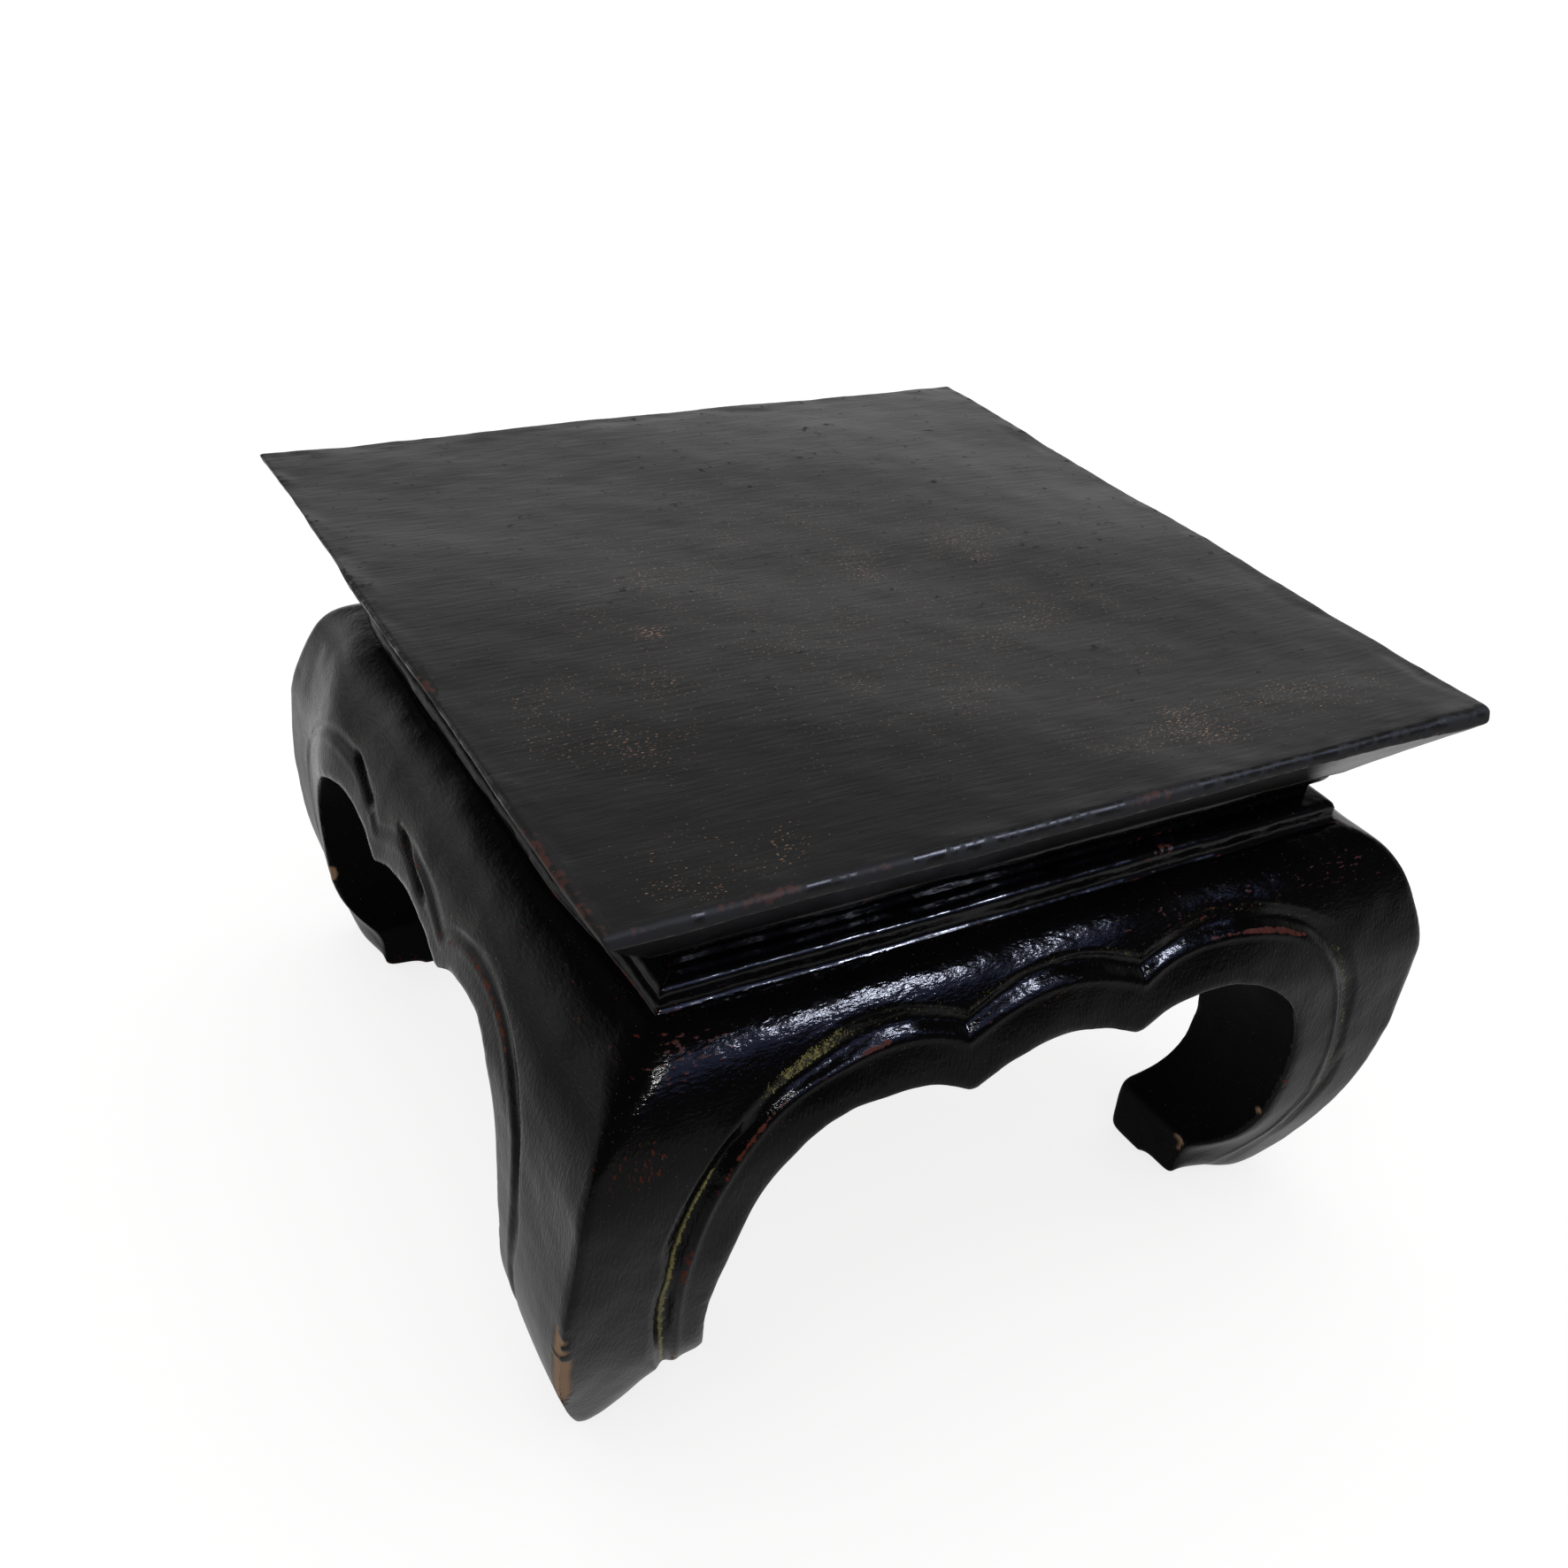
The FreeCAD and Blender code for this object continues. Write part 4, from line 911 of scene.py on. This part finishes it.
# %% Middle and half length of the places where the rim has lost its black film
WORN_RIM = {
    "near corner": ((-160, -160), 26),
    "front, near the corner": ((-118, -160), 16),
    "front, left of the middle": ((-79, -160), 10),
    "front, middle": ((15, -160), 12),
    "left, middle": ((-160, -28), 10),
    "left, near": ((-160, -125), 24),
}
lost = np.zeros(len(points))
for place, half_length in WORN_RIM.values():
    lost = np.maximum(lost, 1 - ramp(away_from(points[:, :2], place, half_length), 0.4, 1.1))
lost *= ramp(np.abs(points[:, :2]).max(axis=1), HALF_TOP - 3.5, HALF_TOP - 1.0)
lost *= ramp(points[:, 2], TOP - 2.4, TOP - 1.4)
LOST_WEAR = 0.3
proud = proudness(points, squares, 1.0, 4)
marks = {"arris": np.clip(proud, 0, None) + LOST_WEAR * lost, "rub": worn}
kind = (points[squares].mean(axis=1)[:, 2] < SLAB_FOOT + 1.0).astype(int)
finished(
    "lacquered_slab", ["slab_front_board", "slab_back_board"], points, squares, marks,
    [TOP_LACQUER, UNDERSIDE_WOOD], kind,
)
print("slab arris", np.percentile(proud, [1, 50, 99]).round(3))

# %% [markdown]
# ## Battens
# Two plain battens slide into dovetail grooves under the slab and keep it flat. They are planed, with the
# arrises just taken off.

# %% Planed battens
BATTEN_VOXEL, BATTEN_EASING = 1.1, 2
for node in ("batten_left", "batten_right"):
    points, squares = skin([node], BATTEN_VOXEL)
    points = swollen(eased(points, squares, BATTEN_EASING), squares, {50: 0.15})
    finished(f"planed_{node}", [node], points, squares, {}, [BARE_WOOD])

# %% [markdown]
# ## Pegs and pins
# Eight whittled pegs lock the tenons of the aprons, and eight split-bamboo pins hold waist and moulding.
# What repeats is best made once and copied by Geometry Nodes: a point for each fastener carries the
# direction it points in, and the tree sets a faceted stick on every point, each a little different in
# thickness.


# %% One tree for all fasteners
def fastener_tree():
    tree = bpy.data.node_groups.new("fasteners", "GeometryNodeTree")
    interface = tree.interface
    interface.new_socket("Places", in_out="INPUT", socket_type="NodeSocketGeometry")
    for name in ("Length", "Width"):
        interface.new_socket(name, in_out="INPUT", socket_type="NodeSocketFloat")
    interface.new_socket("Facets", in_out="INPUT", socket_type="NodeSocketInt")
    interface.new_socket("Finish", in_out="INPUT", socket_type="NodeSocketMaterial")
    interface.new_socket("Fasteners", in_out="OUTPUT", socket_type="NodeSocketGeometry")
    add = adder(tree)
    given = add("NodeGroupInput").outputs
    radius = add("ShaderNodeMath", {0: given["Width"], 1: 0.5}, operation="MULTIPLY")
    tip = add("ShaderNodeMath", {0: radius, 1: 0.86}, operation="MULTIPLY")
    stick = add(
        "GeometryNodeMeshCone",
        {
            "Vertices": given["Facets"], "Side Segments": 4, "Fill Segments": 2,
            "Radius Top": tip, "Radius Bottom": radius, "Depth": given["Length"],
        },
    )
    way = add("GeometryNodeInputNamedAttribute", {"Name": "way"}, data_type="FLOAT_VECTOR")
    turn = add("FunctionNodeAlignRotationToVector", {"Vector": way}, axis="Z")
    spread = add("FunctionNodeRandomValue", {2: 0.94, 3: 0.99, "Seed": 7}, data_type="FLOAT")
    thickness = add("ShaderNodeCombineXYZ", {0: spread.outputs[1], 1: spread.outputs[1], 2: 1.0})
    copies = add(
        "GeometryNodeInstanceOnPoints",
        {"Points": given["Places"], "Instance": stick, "Rotation": turn, "Scale": thickness},
    )
    whole = add("GeometryNodeRealizeInstances", {0: copies})
    finish = add("GeometryNodeSetMaterial", {"Geometry": whole, "Material": given["Finish"]})
    add("NodeGroupOutput", {"Fasteners": finish})
    return tree


def fasteners(name, node, places, ways, length, width, facets, material):
    """Set fasteners with their thick ends on the places, and let the plain mesh of them stand for a node."""
    start = bpy.data.meshes.new(f"{name}_places")
    start.from_pydata([tuple(place) for place in places], [], [])
    start.attributes.new("way", "FLOAT_VECTOR", "POINT").data.foreach_set("vector", np.ravel(ways))
    holder = bpy.data.objects.new(f"{name}_places", start)
    bpy.context.scene.collection.objects.link(holder)
    modifier = holder.modifiers.new("fasteners", "NODES")
    modifier.node_group = FASTENERS
    values = {"Length": length, "Width": width, "Facets": facets, "Finish": material}
    for item in FASTENERS.interface.items_tree:
        if item.in_out == "INPUT" and item.name in values:
            modifier[item.identifier] = values[item.name]
    shown = holder.evaluated_get(bpy.context.evaluated_depsgraph_get())
    mesh = bpy.data.meshes.new_from_object(shown)
    mesh.name = name
    bpy.data.objects.remove(holder)
    stand_for([node], name, mesh)


FASTENERS = fastener_tree()

# %% Places of the pegs and pins, read from the boxes of their solids
PEG_WIDTH, PIN_WIDTH = 6 * MM, 3 * MM
PEG_FACETS, PIN_FACETS = 9, 7
PEG_ALONG, PIN_ALONG = (JOINT + 11) * MM, 60 * MM
PEG_START = (JOINT - 0.6) * MM
peg_box, pin_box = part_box("tenon_pegs"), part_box("bamboo_pins")
peg_heights = (peg_box[1].z - PEG_WIDTH / 2, peg_box[0].z + PEG_WIDTH / 2)
pin_reach = pin_box[1].x - PIN_WIDTH / 2
peg_places, peg_ways, pin_places = [], [], []
for quarter_turns in range(4):
    turn = Matrix.Rotation(quarter_turns * math.pi / 2, 3, "Z")
    for end, peg_height in zip((-1, 1), peg_heights):
        peg_places.append(turn @ Vector((end * PEG_ALONG, -PEG_START, peg_height)))
        peg_ways.append(turn @ Vector((0, -1, 0)))
        pin_places.append(turn @ Vector((end * PIN_ALONG, -pin_reach, pin_box[0].z)))
peg_length, pin_length = peg_box[1].x - PEG_START, pin_box[1].z - pin_box[0].z
pin_ways = [Vector((0, 0, 1))] * len(pin_places)
fasteners(
    "whittled_pegs", "tenon_pegs", peg_places, peg_ways, peg_length, PEG_WIDTH, PEG_FACETS, BARE_WOOD
)
fasteners(
    "split_bamboo_pins", "bamboo_pins", pin_places, pin_ways, pin_length, PIN_WIDTH, PIN_FACETS, BAMBOO
)

# %% [markdown]
# ## Floor, light and camera
# The photograph was taken on a white sweep. The floor is pale and gets part of its white from its own glow
# for the eye and for reflections, so that the stand's soft shadow stays light. The glow is weaker near the
# stand, a painted shade round it, and reflections see it cut off in front of the stand and fading away from
# it, a painted darkness in the reflections. The room is bright near the horizon behind the stand and dark
# overhead, which is what the satin top mirrors. A small softbox, a smaller lamp and a bluish window in
# front draw the highlights on the aprons, and a large softbox overhead lights the rest.

# %% Floor
# The glow is weaker near the stand than far from it: painted shade round the stand
GLOW, FAR_GLOW = 0.80, 0.93
floor_material = bpy.data.materials.new("white_sweep")
floor_material.use_nodes = True
floor_material.node_tree.nodes.clear()
add = adder(floor_material.node_tree)
rays = add("ShaderNodeLightPath").outputs
seen = add("ShaderNodeMath", {0: rays["Is Camera Ray"], 1: rays["Is Glossy Ray"]}, operation="MAXIMUM")
seen = add("ShaderNodeMath", {0: seen, 1: rays["Is Transmission Ray"]}, operation="MAXIMUM")
paper = add("ShaderNodeBsdfDiffuse", {"Color": linear("#959594")})
spot = add("ShaderNodeTexCoord").outputs["Object"]
distance = add("ShaderNodeVectorMath", {0: spot}, operation="LENGTH").outputs["Value"]
glow_with_painted_shade = add(
    "ShaderNodeMapRange",
    {"Value": distance, "From Min": 0.3, "From Max": 1.5, "To Min": GLOW, "To Max": FAR_GLOW},
)
ahead = add("ShaderNodeSeparateXYZ", {"Vector": spot}).outputs["Y"]
# Reflections see the glow cut off in front of the stand and fading away from it: painted darkness in
# reflections
reflection_darkening = add(
    "ShaderNodeMapRange",
    {"Value": ahead, "From Min": -1.12, "From Max": -1.08, "To Min": 0.05, "To Max": 1.0},
)
reflection_fade = add(
    "ShaderNodeMapRange",
    {"Value": distance, "From Min": 0.25, "From Max": 1.1, "To Min": 0.82, "To Max": 0.4},
)
reflection_darkening = add("ShaderNodeMath", {0: reflection_darkening, 1: reflection_fade}, operation="MULTIPLY")
reflection_darkening = add("ShaderNodeMath", {0: reflection_darkening, 1: rays["Is Camera Ray"]}, operation="MAXIMUM")
glow_with_painted_shade = add("ShaderNodeMath", {0: glow_with_painted_shade, 1: reflection_darkening}, operation="MULTIPLY")
strength = add("ShaderNodeMath", {0: seen, 1: glow_with_painted_shade}, operation="MULTIPLY")
glow = add("ShaderNodeEmission", {"Color": linear("#ffffff"), "Strength": strength})
both = add("ShaderNodeAddShader", {0: paper, 1: glow})
add("ShaderNodeOutputMaterial", {"Surface": both})

FLOOR_HALF = 6.0
floor_corners = [(x * FLOOR_HALF, y * FLOOR_HALF, 0) for x, y in ((-1, -1), (1, -1), (1, 1), (-1, 1))]
floor_mesh = bpy.data.meshes.new("floor")
floor_mesh.from_pydata(floor_corners, [], [(0, 1, 2, 3)])
floor = bpy.data.objects.new("floor", floor_mesh)
floor.data.materials.append(floor_material)
bpy.context.scene.collection.objects.link(floor)
print("floor", 2 * FLOOR_HALF, "m wide")

# %% Room light
world = bpy.data.worlds.new("studio")
bpy.context.scene.world = world
world.use_nodes = True
world.node_tree.nodes.clear()
add = adder(world.node_tree)
way = add("ShaderNodeTexCoord").outputs["Generated"]
rise = add("ShaderNodeSeparateXYZ", {"Vector": way}).outputs["Z"]
behind = add("ShaderNodeVectorMath", {0: way, 1: (0.3, 0.95, 0.0)}, operation="DOT_PRODUCT")
backdrop = add(
    "ShaderNodeMapRange",
    {"Value": behind.outputs["Value"], "From Min": -0.25, "From Max": 0.4, "To Min": 0.06, "To Max": 1.0},
)
fade = add(
    "ShaderNodeMapRange",
    {"Value": rise, "From Min": 0.22, "From Max": 0.62, "To Min": 1.2, "To Max": 0.05},
)
shade = add("ShaderNodeMath", {0: backdrop.outputs[0], 1: fade}, operation="MULTIPLY")
rays = add("ShaderNodeLightPath").outputs
shade = add("ShaderNodeMath", {0: shade, 1: rays["Is Camera Ray"]}, operation="MAXIMUM")
ambient = add("ShaderNodeMath", {0: rays["Is Diffuse Ray"], 1: 0.6}, operation="MULTIPLY")
shade = add("ShaderNodeMath", {0: shade, 1: ambient}, operation="MAXIMUM")
background = add("ShaderNodeBackground", {"Color": linear("#ffffff"), "Strength": shade})
add("ShaderNodeOutputWorld", {"Surface": background})
print("room light", len(world.node_tree.nodes), "nodes")


# %% Lamps: place in metres, side of the square, power and colour
FRONT_APRON, MIDDLE = (0, -0.1, 0.12), (0, 0, 0)


def softbox(name, place, aim, side, watts, colour, only_gloss):
    data = bpy.data.lights.new(name, "AREA")
    data.size = side
    data.energy = watts
    data.color = linear(colour)[:3]
    lamp = bpy.data.objects.new(name, data)
    lamp.location = place
    lamp.rotation_euler = (Vector(aim) - Vector(place)).to_track_quat("-Z", "Y").to_euler()
    lamp.visible_camera = False
    lamp.visible_diffuse = not only_gloss
    bpy.context.scene.collection.objects.link(lamp)
    print(name, watts, "W")


softbox("front_softbox", (0.6, -0.93, 1.08), FRONT_APRON, 0.12, 13.0, "#e4eaff", only_gloss=True)
softbox("small_lamp", (0.02, -0.95, 1.0), FRONT_APRON, 0.07, 5.0, "#ffffff", only_gloss=True)
softbox("blue_window", (0.8, -1.6, 1.4), FRONT_APRON, 1.0, 9.0, "#a8b8ff", only_gloss=True)
softbox("overhead_softbox", (0.2, 0.3, 2.0), MIDDLE, 1.6, 9.0, "#ffffff", only_gloss=False)

# %% Camera, fitted to the corners of the top: focal length in pixels, angles in degrees
IMAGE_SIDE, SENSOR_SIDE = 1772, 36
FOCAL = 1807.06
AZIMUTH, ELEVATION, ROLL = (math.radians(angle) for angle in (32.9727, 32.5316, 6.6175))
STATION = Vector((-292.5, -435.3, TOP + 243.0)) * MM
ahead = Vector(
    (
        math.sin(AZIMUTH) * math.cos(ELEVATION),
        math.cos(AZIMUTH) * math.cos(ELEVATION),
        -math.sin(ELEVATION),
    )
)
right = Vector((math.cos(AZIMUTH), -math.sin(AZIMUTH), 0))
up = right.cross(ahead)
across_image = right * math.cos(ROLL) + up * math.sin(ROLL)
up_image = up * math.cos(ROLL) - right * math.sin(ROLL)
camera_data = bpy.data.cameras.new("camera")
camera_data.sensor_width = SENSOR_SIDE
camera_data.sensor_fit = "HORIZONTAL"
camera_data.lens = FOCAL / IMAGE_SIDE * SENSOR_SIDE
camera = bpy.data.objects.new("camera", camera_data)
turn = Matrix((across_image, up_image, -ahead)).transposed().to_4x4()
camera.matrix_world = Matrix.Translation(STATION) @ turn
bpy.context.scene.collection.objects.link(camera)
bpy.context.scene.camera = camera
bpy.context.scene.view_settings.view_transform = "Standard"
print("lens", round(camera_data.lens, 2), "mm")
